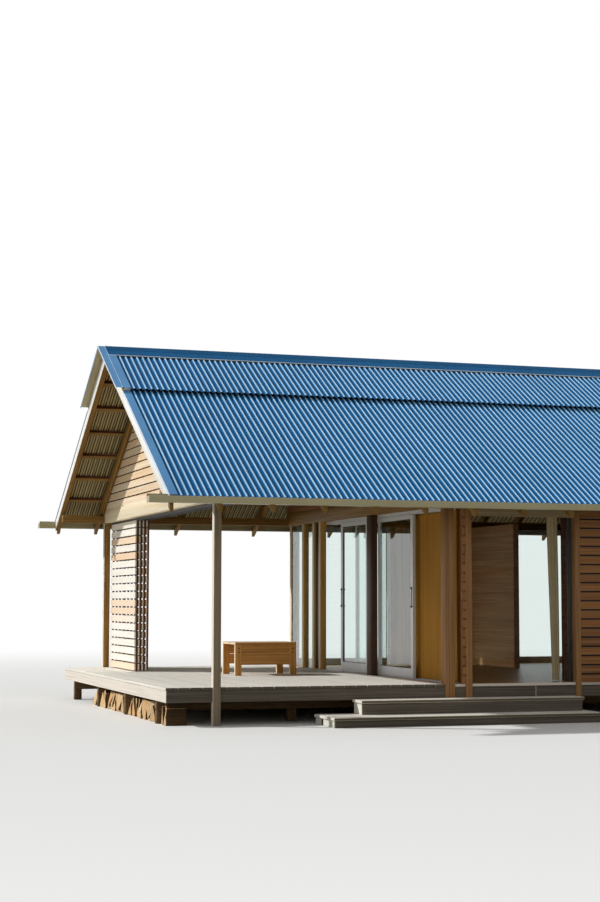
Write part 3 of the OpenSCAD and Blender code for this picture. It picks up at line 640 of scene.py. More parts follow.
def foldOverRidge(name, reach, up, hem, material, *replaced):
    # a strip folded over the ridge, with its edges turned back under
    edge = reach * slopeCos + up * slopeSin
    wing = [(0, roofZ(0, up)), (edge - 0.010, roofZ(edge - 0.010, up)), (edge, roofZ(edge, up)),
            (edge + 0.0008, roofZ(edge, up - 0.0014)), (edge - hem, roofZ(edge - hem, up - 0.0018))]
    line = [(-y, z) for y, z in reversed(wing)] + wing[1:]
    piece = drawProfile(name, line, -cap["ends"], cap["ends"], cap["gauge"], 0.0)
    smoothShade(piece, 25)
    return usePiece(piece, "blue_roofing", material, *replaced)


ridgeCap = foldOverRidge("ridgeCapFolded", cap["wing"], cap["up"], cap["hem"], capSteel, "ridge_cap")
# the cap's underside in the cream backing coat, partly a painted reflection
paintWhere(ridgeCap, foldBackingCoat, lambda c, n: n.z < -0.3)
foot = cap["wing"] * slopeCos + cap["up"] * slopeSin - cap["footHighlight"]
# a painted highlight along the foot of the cap
paintWhere(ridgeCap, foldHighlight, lambda c, n: abs(c.y) > foot and n.z > -0.3)
foldOverRidge("ridgeStripFolded", cap["strip"], cap["up"] + 0.0020, cap["stripHem"], stripSteel)

# dark foam that fills the troughs under the edge of the cap, run on a little past the edge as a painted shadow in
# the troughs
closure = addFullWidth(cap["wing"] - 0.02, cap["wing"] + 0.022, sheets["lift"])
for vertex in closure.data.vertices:
    vertex.co.z = sheets["lift"] + crest - 0.002
addModifier(closure, "SOLIDIFY", thickness=cap["foam"], offset=-1.0)
for side, word in ((-1, "front"), (1, "far")):
    foam = layOnSlope(closure, side)
    foam.name = word + "CapClosureFoamAndShadow"
    usePiece(foam, "dark_packing", packing)
bpy.data.objects.remove(closure)

# flashings folded over the barge boards
flashing = {"out": 5.327, "lowerFrom": 1.358, "lowerTo": 4.262, "upperFrom": -0.08, "upperTo": 1.346,
            "inward": 0.094, "upperOut": 0.097, "top": 0.0213, "gauge": 0.0016, "plate": (5.232, 5.320)}


def foldedFlashing(side, end, y0, y1, up, section):
    # a hemmed section, drawn in YZ and turned so that it is pulled down the slope
    line = [(flashing["out"] + x, up + z) for x, z in section]
    piece = drawProfile("flash", line, y0, y1, flashing["gauge"], 0.0)
    piece.data.transform(Matrix(((0, end, 0, 0), (1, 0, 0, 0), (0, 0, 1, 0), (0, 0, 0, 1))))
    laid = layOnSlope(piece, side)
    bpy.data.objects.remove(piece)
    return laid


inward, reach, raised = flashing["inward"], flashing["upperOut"], flashing["top"] + sheets["lift"]
lowerSection = [(-inward, 0.0004), (-inward - 0.001, 0.0022), (0.0, 0.0022), (0.0, -0.034), (-0.001, -0.031)]
# a small rib beside the end of the cap stiffens the wider upper flashing
upperSection = [(-inward, 0.0004), (-inward - 0.001, 0.0020), (0.002, 0.0020), (0.004, 0.0046),
                (0.010, 0.0046), (0.012, 0.0020), (reach, 0.0020), (reach, -0.021), (reach - 0.006, -0.019)]
parts = []
for side in (-1, 1):
    for end in (-1, 1):
        parts.append(foldedFlashing(side, end, flashing["lowerFrom"], flashing["lowerTo"], flashing["top"],
                                    lowerSection))
        upper = foldedFlashing(side, end, flashing["upperFrom"], flashing["upperTo"], raised, upperSection)
        # mitred over the ridge, where it meets the one on the other slope
        cutOff(upper, (0, 0, 0), (0, -side, 0))
        parts.append(upper)
        # a plate closes the end of the vent slot
        x0, x1 = sorted(end * x for x in flashing["plate"])
        plate = addBlock((x0, 1.328, flashing["top"] + 0.002), (x1, 1.330, raised - 0.001))
        parts.append(layOnSlope(plate, side))
        bpy.data.objects.remove(plate)
ends = joinAll(parts, "bargeFlashingsFolded")
editAll(ends, bpy.ops.mesh.normals_make_consistent, inside=False)
usePiece(ends, "blue_roofing", flashingSteel, "barge_flashings")
# undersides in the cream backing coat, partly a painted reflection
paintWhere(ends, foldBackingCoat, lambda c, n: n.z < -0.3)
# outer faces of the flashings: a painted highlight on the front slope, painted shade on the lower tier of the far
# slope
paintWhere(ends, foldHighlight, lambda c, n: n.x * c.x > 3.0 and c.y < 0)
paintWhere(ends, foldShade, lambda c, n: n.x * c.x > 3.0 and c.y > 1.2)
# the rib beside the cap gets a painted highlight, and the plates that close the vent slot take the same pale
# colour
paintWhere(ends, foldHighlight, lambda c, n: 5.330 < abs(c.x) < 5.340 and n.x * c.x > 1.0)
paintWhere(ends, foldHighlight, lambda c, n: 5.232 < abs(c.x) < 5.320 and abs(n.z) < 0.7)

gutter = {"ends": 5.57, "back": 3.621, "foot": 2.526, "depth": 0.122, "height": 0.073, "gauge": 0.0016,
          "lip": 0.014, "bracketEvery": 0.9, "firstBracket": 0.35, "backUp": 0.027}


def makeGutter(side, word):
    back, foot, curl = gutter["back"], gutter["foot"], gutter["lip"] / 2
    front, top = back + gutter["depth"], foot + gutter["height"]
    # the back stands up behind the ends of the sheets, so that no daylight shows under their crests
    line = [(back, top + gutter["backUp"]), (back, foot), (front, foot), (front, top - curl)]
    for k in range(1, 9):
        angle = math.radians(30 * k)
        line.append((front - curl + curl * math.cos(angle), top - curl + curl * math.sin(angle)))
    pieces = [drawProfile("gutterBody", line, -gutter["ends"], gutter["ends"], gutter["gauge"], 1.0)]
    for end in (-1, 1):
        x = end * (gutter["ends"] - 0.0006)
        x0, x1 = sorted((x, x - end * 0.002))
        pieces.append(addBlock((x0, back, foot), (x1, front, top - 0.004)))
    for k in range(int(2 * gutter["ends"] / gutter["bracketEvery"])):
        x = -gutter["ends"] + gutter["firstBracket"] + k * gutter["bracketEvery"]
        strap = addBlock((x - 0.011, back + 0.002, top - 0.005), (x + 0.011, front - 0.002, top - 0.002))
        easeEdges(strap, 0.0008)
        pieces.append(strap)
    piece = joinAll(pieces, word + "GutterRolledLip")
    if side < 0:
        piece.data.transform(Matrix.Diagonal((1, -1, 1, 1)))
        piece.data.flip_normals()
    smoothShade(piece, 32)
    usePiece(piece, "khaki_gutter", gutterSteel, word + "_gutter")


makeGutter(-1, "front")
makeGutter(1, "far")
print("cap, flashings and gutters folded")

# timber frame, dressed from the CAD solids: node, finish, slot, eased edge, then tilt and segments
tilt = house["slope"]
framing = (("piles", pineFraming, "pine_framing", 0.004),
           ("bearers", pineFraming, "pine_framing", 0.003),
           ("joists", pineFraming, "pine_framing", 0.003),
           ("deck_posts", roofTimber, "post_timber", 0.004, 0.0, 2),
           ("front_posts", redPostTimber, "post_timber", 0.004, 0.0, 2),
           ("far_posts", roofTimber, "post_timber", 0.004, 0.0, 2),
           ("glazed_wall_posts", postTimber, "post_timber", 0.004, 0.0, 2),
           ("eave_beams", roofTimber, "pine_framing", 0.004),
           ("cross_beams", roofTimber, "pine_framing", 0.004),
           ("front_rafters", roofTimber, "pine_framing", 0.003, -tilt),
           ("far_rafters", roofTimber, "pine_framing", 0.003, tilt),
           ("ridge_board", roofTimber, "pine_framing", 0.003),
           ("front_purlins", roofTimber, "pine_framing", 0.003, -tilt),
           ("far_purlins", roofTimber, "pine_framing", 0.003, tilt),
           ("barge_boards", bargePaint, "white_painted_board", 0.003),
           ("vent_battens", packing, "dark_packing", 0.002),
           ("wall_linings", liningTimber, "lining_board", 0.003),
           ("door_tracks", postTimber, "post_timber", 0.003),
           ("side_panel", darkAluminium, "dark_aluminium", 0.002))
dressed = {}
for seed, (node, finish, slotName, ease, *rest) in enumerate(framing, 11):
    dressed[node] = dress(node, finish, slotName, ease, seed, *rest)
for node, finish, test in (
        ("deck_posts", greyPostTimber, lambda c, n: c.y < 0),
        ("deck_posts", fasciaTimber, lambda c, n: n.x < -0.6),  # the sides that face the sun take pale pine as painted sunlight
        # the sides of the far and glazed wall posts that face the sun: painted sunlight in pale pine
        ("far_posts", paleTimber, lambda c, n: n.x < -0.6),
        ("glazed_wall_posts", paleTimber, lambda c, n: n.x < -0.6),
        ("glazed_wall_posts", darkPostTimber, lambda c, n: -0.6 < c.y < -0.3),
        ("cross_beams", paleTimber, lambda c, n: c.x < -4.5),  # the beam over the gable opening
        ("front_purlins", stileTimber, lambda c, n: n.y > 0.7 and n.z > 0.2),  # painted shade on the sides that face up the slope
        ("far_purlins", stileTimber, lambda c, n: n.y < -0.7 and n.z > 0.2),
        ("barge_boards", roofTimber, lambda c, n: n.z < -0.5 or n.x * c.x < -1.0),  # lower edges and inner faces in the brown of the roof timber
        # black building paper behind the slats
        ("wall_linings", packing, lambda c, n: n.y * c.y > 2.4 or n.x * c.x > 3.8)):
    paintWhere(dressed[node], finish, test)
print("timber frame dressed")


def postCutters(gap):
    # the posts' own boxes with a hair of room, to notch the boards round them
    cutters = [mergedCopy(name) for name in ("deck_posts", "front_posts", "far_posts")]
    for cutter in cutters:
        addModifier(cutter, "DISPLACE", strength=gap, mid_level=0.0)
    return cutters


# deck boards run from front to back, floor boards along the house
deckBoards = {"width": 0.140, "gap": 0.004, "ease": 0.004, "room": 0.002}


def boardRows(start, end, pitch, width, least, last):
    # both edges of every board in a row, where the last one is sawn to fit
    rows = []
    while start < end - least:
        rows.append((start, min(start + width, last)))
        start += pitch
    return rows


low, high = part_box("deck")
edgeLow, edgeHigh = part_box("edge_boards")
rows = boardRows(edgeLow.x, high.x, deckBoards["width"] + deckBoards["gap"], deckBoards["width"], 0.01,
                 high.x - 0.002)
boxes = [((x0, edgeLow.y, low.z), (x1, edgeHigh.y, high.z)) for x0, x1 in rows]
deck = makeBoards("deckBoards", boxes, deckBoards["ease"], 31, axis=1, cutters=postCutters(deckBoards["room"]))
usePiece(deck, "decking", deckTimber, "deck")
# the sawn ends at the front are painted darker than the walked faces, as painted shade
paintWhere(deck, frontShadeTimber, lambda c, n: c.y < edgeLow.y + 0.006)

floorBoards = {"width": 0.130, "gap": 0.0015, "ease": 0.002, "room": 0.002}
low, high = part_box("floor")
pitch = floorBoards["width"]
rows = boardRows(low.y, high.y, pitch, pitch - floorBoards["gap"], 0.01, high.y)
boxes = [((low.x, y0, low.z), (high.x, y1, high.z)) for y0, y1 in rows]
floorPiece = makeBoards("floorBoards", boxes, floorBoards["ease"], 32, axis=0,
                        cutters=postCutters(floorBoards["room"]))
usePiece(floorPiece, "lining_board", floorTimber, "floor")

# fascias under the deck's edge, butted at a joint in the long sides, and trim round the floor
fascia = {"thick": 0.030, "set": 0.005, "gap": 0.003, "ease": 0.003, "joint": (-0.6, -0.597), "room": 0.001}
t, top = fascia["thick"], low.z - fascia["gap"]
x0, x1 = edgeLow.x + fascia["set"], edgeHigh.x - fascia["set"]
y0, y1, z0 = edgeLow.y + fascia["set"], edgeHigh.y - fascia["set"], edgeLow.z
jointA, jointB = fascia["joint"]
boxes = [((x0, y0 + t, z0), (x0 + t, y1 - t, top))]
for ya, yb in ((y0, y0 + t), (y1 - t, y1)):
    boxes += [((x0, ya, z0), (jointA, yb, top)), ((jointB, ya, z0), (x1, yb, top))]
boxes += [((x1 - t, y0 + t, z0), (x1, y1 - t, top)),
          ((low.x, edgeLow.y, top + 0.003), (edgeHigh.x, edgeLow.y + t, high.z)),
          ((low.x, edgeHigh.y - t, top + 0.003), (edgeHigh.x, edgeHigh.y, high.z)),
          ((edgeHigh.x - t, edgeLow.y + t, top + 0.003), (edgeHigh.x, edgeHigh.y - t, high.z))]
edges = makeBoards("edgeBoards", boxes, fascia["ease"], 33, cutters=postCutters(fascia["room"]))
usePiece(edges, "decking", fasciaTimber, "edge_boards")
# the front and back fascias take the darker pine as painted shade
paintWhere(edges, frontShadeTimber, lambda c, n: abs(c.y) > 3.1 and c.z < top and abs(n.x) < 0.5)

step = {"tread": 0.034, "over": 0.018, "board": 0.140, "gap": 0.004, "side": 0.032, "gapFrom": 0.62,
        "gapTo": 0.72}


def makeStep(name, node, gapInSide):
    a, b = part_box(node)
    depth = b.y - a.y
    count = max(1, round(depth / step["board"]))
    wide = (depth - (count - 1) * step["gap"]) / count
    boxes = []
    for k in range(count):
        y = a.y + k * (wide + step["gap"])
        boxes.append(((a.x, y, b.z - step["tread"]), (b.x, y + wide, b.z)))
    t, over, top = step["side"], step["over"], b.z - step["tread"] - 0.0005
    back = a.y + over + t
    boxes.append(((a.x + over, a.y + over, a.z), (b.x - over, back, top)))
    sides = [(back, b.y)]
    if gapInSide:
        sides = [(back, a.y + depth * step["gapFrom"]), (a.y + depth * step["gapTo"], b.y)]
    for x in (a.x + over, b.x - over - t):
        boxes += [((x, y0, a.z), (x + t, y1, top)) for y0, y1 in sides]
    piece = usePiece(makeBoards(name, boxes, 0.004, 34), "decking", deckTimber, node)
    # the fronts of the step take the darker pine as painted shade
    paintWhere(piece, frontShadeTimber, lambda c, n: n.y < -0.8 or (c.z < top and c.y < back))


makeStep("lowerStepBoards", "lower_step", True)
makeStep("upperStepBoards", "upper_step", False)
print("deck, floor and steps boarded")

gable = {"pitch": 0.112, "gap": 0.019, "thick": 0.020, "uprights": 0.8, "down": 0.0455, "ease": 0.002}


def makeGable(name, node, outside, seed, material):
    # boards laid across, with uprights behind them, sawn off along the slopes
    a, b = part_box(node)
    face = a.x if outside < 0 else b.x
    inner = face - outside * gable["thick"]
    deep = inner - outside * gable["thick"]
    side = (roofZ(0, -0.0453) - a.z) / math.tan(house["slope"])
    rows = boardRows(a.z, b.z, gable["pitch"], gable["pitch"] - gable["gap"], 0.02, b.z)
    boxes = [((min(face, inner), -side, z0), (max(face, inner), side, z1)) for z0, z1 in rows]
    for k in range(-3, 4):
        y = k * gable["uprights"]
        boxes.append(((min(inner, deep) + 0.0002, y - 0.035, a.z), (max(inner, deep), y + 0.035, b.z + 0.4)))
    planes = [((0, 0, roofZ(0, -gable["down"])), (0, way * slopeSin, slopeCos)) for way in (1, -1)]
    ridgeLow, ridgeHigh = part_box("ridge_board")
    notch = addBlock((a.x - 0.1, ridgeLow.y - 0.001, ridgeLow.z - 0.001),
                     (b.x + 0.1, ridgeHigh.y + 0.001, ridgeHigh.z + 0.2))
    piece = makeBoards(name, boxes, gable["ease"], seed, cutters=(notch,), planes=planes)
    usePiece(piece, "cedar_boards", material, node)
    # the uprights behind the boards never see the sun
    paintWhere(piece, stileTimber, lambda c, n: (c.x - inner) * outside < 0)


# the end gables take the cedar with painted sunlight, the cross gable the plain brown cedar
makeGable("leftGableBoards", "left_gable_boards", -1, 41, gableTimber)
makeGable("crossGableBoards", "cross_gable_boards", -1, 42, cedarBoards)
makeGable("rightGableBoards", "right_gable_boards", 1, 43, gableTimber)
print("gables boarded")

# slatted walls and screens
slats = {"pitch": 0.112, "gap": 0.020, "thick": 0.020, "count": 19, "ease": 0.002}
walls = {"frontX": 0.013, "cornerX": 4.583, "faceY": (3.18, 3.2), "endX": (4.653, 4.673), "endY": 3.11,
         "post": 0.09}
# where the posts of the far wall stand
farPosts = [house["glazedX"] + 0.05, -0.073, 1.827, 3.117, walls["cornerX"]]


def slatLevels(foot, count=slats["count"]):
    # lower and upper edge of every slat above a level
    return [(foot + k * slats["pitch"], foot + k * slats["pitch"] + slats["pitch"] - slats["gap"])
            for k in range(count)]


boxes = []
yIn, yOut = walls["faceY"]
for z0, z1 in slatLevels(house["deckZ"]):
    boxes.append(((walls["frontX"], -yOut, z0), (walls["cornerX"], -yIn, z1)))
    boxes += [((farPosts[i] + walls["post"], yIn, z0), (farPosts[i + 1], yOut, z1)) for i in (1, 3)]
    boxes.append(((walls["endX"][0], -walls["endY"], z0), (walls["endX"][1], walls["endY"], z1)))
usePiece(makeBoards("wallSlats", boxes, slats["ease"], 44), "cedar_boards", cedarBoards, "wall_slats")

screen = {"stile": 0.044, "wheel": 0.014, "wheelIn": 0.022, "strap": 0.034}


def makeScreen(number):
    node, name = "screen_%d" % number, "screen%d" % number
    a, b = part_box(node)
    levels = slatLevels(a.z)
    face, head = a.x + slats["thick"], levels[-1][1]
    outer = makeBoards(name + "Slats", [((a.x, a.y, z0), (face, b.y, z1)) for z0, z1 in levels], slats["ease"],
                       50 + number, axis=1)
    rows = (a.y, (a.y + b.y) / 2 - screen["stile"] / 2, b.y - screen["stile"])
    boxes = [((face + 0.0002, y, a.z), (b.x, y + screen["stile"], head)) for y in rows]
    stiles = makeBoards(name + "Stiles", boxes, slats["ease"], 60 + number, axis=2)
    # outer slats in the pale cedar with painted sunlight, stiles in the dark cedar with painted shade
    usePiece(outer, "cedar_boards", screenTimber, node, body=node)
    usePiece(stiles, "cedar_boards", stileTimber, body=node)
    # two hangers: a strap with its wheel under the rail
    parts = []
    for y in (a.y + screen["wheelIn"], b.y - screen["wheelIn"]):
        parts.append(addBlock((a.x + 0.025, y - screen["strap"] / 2, head - 0.03),
                              (a.x + 0.029, y + screen["strap"] / 2, b.z)))
        hub = (a.x + 0.033, y, b.z - screen["wheel"] - 0.001)
        parts.append(settle(addDisc(20, screen["wheel"], 0.006, hub, (0, math.radians(90), 0))))
    hangers = joinAll(parts, name + "Hangers")
    easeEdges(hangers, 0.001)
    smoothShade(hangers, 40)
    usePiece(hangers, "aluminium", steelBright, body=node)


for number in (1, 2, 3, 4):
    makeScreen(number)

track = {"top": 0.012, "every": 0.052, "first": 0.036, "lips": ((-0.014, -0.011), (0.011, 0.014))}
a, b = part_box("screen_track")
boxes = [((a.x, a.y, b.z - track["top"]), (b.x, b.y, b.z))]
for k in range(4):
    x = a.x + track["first"] + k * track["every"]
    boxes += [((x + near, a.y, a.z), (x + far, b.y, b.z - track["top"] - 0.0005))
              for near, far in track["lips"]]
# the screen track is dark as painted shade under the beam
usePiece(makeBoards("screenTrackRails", boxes, 0.0008, 66), "dark_aluminium", darkAluminium, "screen_track")
print("slats and screens hung")

# inner wall: tongued boards laid across, a V joint between them
lining = {"board": 0.108, "joint": 0.004}
a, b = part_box("inner_wall")
rows = boardRows(a.z, b.z, lining["board"], lining["board"], 0.005, b.z)
wall = makeBoards("innerWallBoards", [((a.x, a.y, z0), (b.x, b.y, z1)) for z0, z1 in rows], lining["joint"], 71)
usePiece(wall, "lining_board", liningTimber, "inner_wall")

# header over the front doorway, and a strip of slats beside it
doorway = {"stripFrom": -1.582, "stripTo": -1.526, "headerFrom": -1.444, "headerZ": 2.463}
a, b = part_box("doorway_trim")
x0, x1 = doorway["stripFrom"], doorway["stripTo"]
boxes = [((doorway["headerFrom"], a.y, doorway["headerZ"]), (b.x, b.y, b.z))]
boxes += [((x0, a.y, z0), (x1, a.y + slats["thick"], z1)) for z0, z1 in slatLevels(house["deckZ"])]
boxes.append(((x0, a.y + slats["thick"] + 0.0002, a.z), (x1, b.y, b.z)))
trim = makeBoards("doorwayTrim", boxes, slats["ease"], 72)
usePiece(trim, "cedar_boards", cedarBoards, "doorway_trim")
paintWhere(trim, headerTimber, lambda c, n: c.x > doorway["stripTo"] + 0.01)
print("inner wall boarded")

# glazed doors
leaf = {"thick": 0.040, "stile": 0.075, "bottom": 0.120, "top": 0.055, "shoe": 0.0047, "pullUp": 0.895,
        "band": 0.012}
seal = {"width": 0.006, "deep": 0.005, "bite": 0.0005}


def facing(bars, alongX):
    # bars of a frame that runs along X or along Y, as boxes
    return [((u0, d0, z0), (u1, d1, z1)) if alongX else ((d0, u0, z0), (d1, u1, z1))
            for u0, u1, d0, d1, z0, z1 in bars]


def frameBoxes(along, deep, levels, stile, inset=0.0, alongX=False):
    # stiles run through, rails between them; the levels are foot, sill, head and top
    (u0, u1), (d0, d1), (foot, sill, head, top) = along, deep, levels
    rail = (u0 + stile, u1 - stile, d0 + inset, d1 - inset)
    return facing([(u0, u0 + stile, d0, d1, foot, top), (u1 - stile, u1, d0, d1, foot, top),
                   (*rail, foot, sill), (*rail, head, top)], alongX)


def sealBoxes(along, levels, depths, alongX=False):
    # four strips round a pane, on both of its faces
    (u0, u1), (sill, head), w, bite = along, levels, seal["width"], seal["bite"]
    bars = []
    for d in depths:
        deep = (d, d + seal["deep"])
        bars += [(u0 - bite, u0 + w, *deep, sill, head), (u1 - w, u1 + bite, *deep, sill, head),
                 (u0 + w, u1 - w, *deep, sill - bite, sill + w), (u0 + w, u1 - w, *deep, head - w, head + bite)]
    return facing(bars, alongX)


def shoeBoxes(middle, along, levels):
    # guide shoes that run in the tracks above and below a leaf
    foot, head = levels
    return [((middle - 0.006, y, z0), (middle + 0.006, y + 0.06, z1))
            for y in (along[0] + 0.03, along[1] - 0.09)
            for z0, z1 in ((foot - leaf["shoe"], foot + 0.002), (head - 0.002, head + leaf["shoe"]))]


def leafFrame(name, low, high, body, seed, shoes=True):
    # four aluminium sections and a black gasket round the glass
    x, y, z = zip(low, high)
    levels = (z[0], z[0] + leaf["bottom"], z[1] - leaf["top"], z[1])
    boxes = frameBoxes(y, x, levels, leaf["stile"], 0.0005)
    if shoes:
        boxes += shoeBoxes((x[0] + x[1]) / 2, y, z)
    sections = makeBoards(name, boxes, 0.0015, seed)
    boxes = sealBoxes((y[0] + leaf["stile"], y[1] - leaf["stile"]), levels[1:3], (x[0] + 0.006, x[1] - 0.011))
    usePiece(makeBoards(name + "Gasket", boxes, 0.001, seed + 1), "dark_aluminium", gasket, body=body)
    return sections


pull = {"radius": 0.0105, "reach": 0.0175, "length": 0.260, "bend": 0.022, "rose": 0.0155, "roseThick": 0.004}


def makePull(x, y, z, way):
    # bar handle: a round bar drawn out, spun round two bends and drawn back to the leaf
    # with no window both bends lead in to the leaf: the bar lies mostly in its face, and only its ends stand out
    r, bend, reach, length = pull["radius"], pull["bend"], pull["reach"], pull["length"] - 2 * pull["radius"]
    quarter = {"steps": 6, "angle": math.radians(90), "axis": (0, -1, 0)}
    deselectAll()
    bpy.ops.mesh.primitive_circle_add(vertices=14, radius=r, fill_type="NGON", location=(0, 0, 0))
    bar = bpy.context.active_object
    bpy.ops.object.mode_set(mode="EDIT")
    bpy.ops.mesh.select_all(action="SELECT")
    bpy.ops.transform.rotate(value=math.radians(90), orient_axis="Y", center_override=(0, 0, 0))
    pullOut(reach, 0, 0)
    bpy.ops.mesh.spin(center=(reach, 0, bend), **quarter)
    pullOut(0, 0, length - 2 * bend)
    bpy.ops.mesh.spin(center=(reach, 0, length - bend), **quarter)
    pullOut(-reach, 0, 0)
    bpy.ops.object.mode_set(mode="OBJECT")
    editAll(bar, bpy.ops.mesh.remove_doubles, threshold=0.00005)
    editAll(bar, bpy.ops.mesh.normals_make_consistent, inside=False)
    parts = [bar]
    for up in (0.0, length):
        rose = settle(addDisc(20, pull["rose"], pull["roseThick"], (pull["roseThick"] / 2, 0, up),
                              (0, math.radians(90), 0)))
        easeEdges(rose, 0.001)
        parts.append(rose)
    handle = joinAll(parts, "pullPattern")
    handle.data.transform(Matrix.Translation((x, y, z + r)) @ Matrix.Diagonal((way, 1, 1, 1)))
    if way < 0:
        handle.data.flip_normals()
    smoothShade(handle, 40)
    return handle


def makeLeaf(node, word, nearSide, seed):
    a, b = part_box(node)
    x0 = (a.x + b.x) / 2 - leaf["thick"] / 2
    x1, foot = x0 + leaf["thick"], a.z + leaf["shoe"]
    sections = leafFrame(word + "Sections", (x0, a.y, foot), (x1, b.y, b.z - leaf["shoe"]), node, seed)
    usePiece(sections, "aluminium", aluminium, node, body=node)
    y = a.y + leaf["stile"] / 2 if nearSide else b.y - leaf["stile"] / 2
    z = foot + leaf["pullUp"]
    bars = joinAll([makePull(x0, y, z, -1), makePull(x1, y, z, 1)], word + "Pulls")
    usePiece(bars, "aluminium", pullSteel, body=node)


makeLeaf("far_leaf", "farLeaf", False, 81)
makeLeaf("near_leaf", "nearLeaf", True, 83)

# plywood leaf: one sheet in a solid edge band, with a pull on the room side
a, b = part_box("solid_leaf")
band, slit = leaf["band"], 0.0003
faceX, foot, head = a.x + leaf["thick"], a.z + leaf["shoe"], b.z - leaf["shoe"]
y0, y1 = a.y + band, b.y - band
sheet = makeBoards("solidLeafSheet", [((a.x, y0, foot + band), (faceX, y1, head - band))], 0.001, 85, axis=2)
boxes = [((a.x, a.y, foot), (faceX, y0 - slit, head)), ((a.x, y1 + slit, foot), (faceX, b.y, head)),
         ((a.x, y0, foot), (faceX, y1, foot + band - slit)),
         ((a.x, y0, head - band + slit), (faceX, y1, head))]
boxes += shoeBoxes(a.x + leaf["thick"] / 2, (a.y, b.y), (foot, head))
usePiece(sheet, "plywood", plywood, "solid_leaf", body="solid_leaf")
usePiece(makeBoards("solidLeafBand", boxes, 0.001, 86), "plywood", plywood, body="solid_leaf")
bar = makePull(faceX, a.y + leaf["stile"] / 2, foot + leaf["pullUp"], 1)
bar.name = "solidLeafPull"
usePiece(bar, "aluminium", pullSteel, body="solid_leaf")

# head and sill with their track grooves, and the fixed frame behind the far leaf
rail = {"head": 0.045, "sill": 0.008, "tracks": (0.006, 0.102), "wall": 0.012, "edge": 0.005, "rib": 0.004,
        "fixedY": (-0.405, 0.560), "fixedDeep": 0.040}
a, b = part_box("door_frame")
headZ, sillZ = b.z - rail["head"], a.z + rail["sill"]
trackA, trackB = [a.x + x for x in rail["tracks"]]
boxes = [((a.x, a.y, headZ + 0.012), (b.x, b.y, b.z)), ((a.x, a.y, a.z), (b.x, b.y, a.z + 0.004)),
         ((a.x, a.y, headZ), (a.x + rail["edge"], b.y, headZ + 0.0118))]
for x in (trackA + 0.042, trackB - 0.014, b.x - rail["wall"]):
    boxes.append(((x, a.y, headZ), (x + rail["wall"], b.y, headZ + 0.0118)))
for x in (trackA + 0.004, trackA + 0.030, trackB + 0.004, trackB + 0.030):
    boxes.append(((x, a.y, a.z + 0.0042), (x + rail["rib"], b.y, sillZ)))
headPiece = makeBoards("doorHeadAndSill", boxes, 0.0008, 87)
y0, y1 = rail["fixedY"]
fixedFrame = leafFrame("fixedLight", (trackB, y0, sillZ), (trackB + rail["fixedDeep"], y1, headZ), "house", 88,
                       shoes=False)
usePiece(joinAll([headPiece, fixedFrame], "doorFrameSections"), "aluminium", aluminium, "door_frame")

for name in ("fixed_panes", "far_leaf_glass", "near_leaf_glass", "window_glass"):
    nodes[name].data.materials.clear()
    nodes[name].data.materials.append(clearGlass)

# leaves of the front doorway, slid away behind the wall: three glazed, three slatted
parked = {"firstY": -2.97, "every": 0.052, "thick": 0.044, "slatted": 0.16, "slats": 18}
a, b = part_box("parked_leaves")
levels = (a.z, a.z + leaf["bottom"], b.z - leaf["top"], b.z)
boxes, slatBoxes = [], []
for k in range(3):
    y = parked["firstY"] + k * parked["every"]
    boxes += frameBoxes((a.x, b.x), (y, y + parked["thick"]), levels, leaf["stile"], alongX=True)
    y += parked["slatted"]
    for x in (a.x, (a.x + b.x) / 2 - 0.022, b.x - 0.044):
        slatBoxes.append(((x, y + 0.0202, a.z), (x + 0.044, y + 0.04, b.z)))
    for z0, z1 in slatLevels(a.z + 0.01, parked["slats"]):
        slatBoxes.append(((a.x, y, z0), (b.x, y + slats["thick"], z1)))
# the parked frames and slats are dark as painted shade behind the wall
usePiece(makeBoards("parkedFrames", boxes, 0.0015, 90), "dark_aluminium", darkAluminium, "parked_leaves")
usePiece(makeBoards("parkedSlats", slatBoxes, slats["ease"], 91), "cedar_boards", stileTimber)

# windows of the far wall
window = {"deep": (3.125, 3.185), "stile": 0.05, "sillUp": 0.095, "head": 2.514}
levels = (house["deckZ"], house["deckZ"] + window["sillUp"], window["head"], house["beamZ"])
y0, y1 = window["deep"]
boxes, seals = [], []
for i in (0, 2):
    x0, x1 = farPosts[i] + walls["post"], farPosts[i + 1]
    boxes += frameBoxes((x0, x1), (y0, y1), levels, window["stile"], 0.001, alongX=True)
    seals += sealBoxes((x0 + window["stile"], x1 - window["stile"]), levels[1:3], (y0 + 0.018, y1 - 0.023),
                       alongX=True)
usePiece(makeBoards("windowSections", boxes, 0.0015, 92), "aluminium", aluminium, "window_frames")
usePiece(makeBoards("windowGaskets", seals, 0.001, 93), "dark_aluminium", gasket)
print("doors and windows glazed")

curtain = {"folds": 3.5, "deep": 0.036, "columns": 84, "rows": 44, "thick": 0.0014, "flat": (0.42, 2.09),
           "gliders": 8}
a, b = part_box("curtain")
deselectAll()
bpy.ops.mesh.primitive_grid_add(x_subdivisions=curtain["columns"], y_subdivisions=curtain["rows"], size=1)
cloth = bpy.context.active_object
cloth.name = "curtainLinen"
cloth.data.uv_layers[0].name = "cloth"
width, drop = b.x - a.x - 0.004, b.z - a.z - 0.012
centreY = (a.y + b.y) / 2
for vertex in cloth.data.vertices:
    u, v = vertex.co.x + 0.5, vertex.co.y + 0.5
    swing = 1.0 - 0.22 * v
    lean = 0.010 * math.sin(3.1 * v + 0.6) * (1 - v)
    phase = 2 * math.pi * curtain["folds"] * u + 0.9 * math.sin(2.3 * (1 - v)) + 0.5 * math.sin(5 * u)
    fold = curtain["deep"] * swing * math.sin(phase) * (0.86 + 0.14 * math.sin(9 * u + 2))
    # the foot is drawn together towards the wall
    across = 1.0 - (1.0 - u) * (0.55 + 0.45 * v)
    vertex.co = (a.x + 0.002 + width * across + 0.3 * lean, centreY + fold, a.z + 0.004 + drop * v)
addModifier(cloth, "SOLIDIFY", thickness=curtain["thick"], offset=0.0)
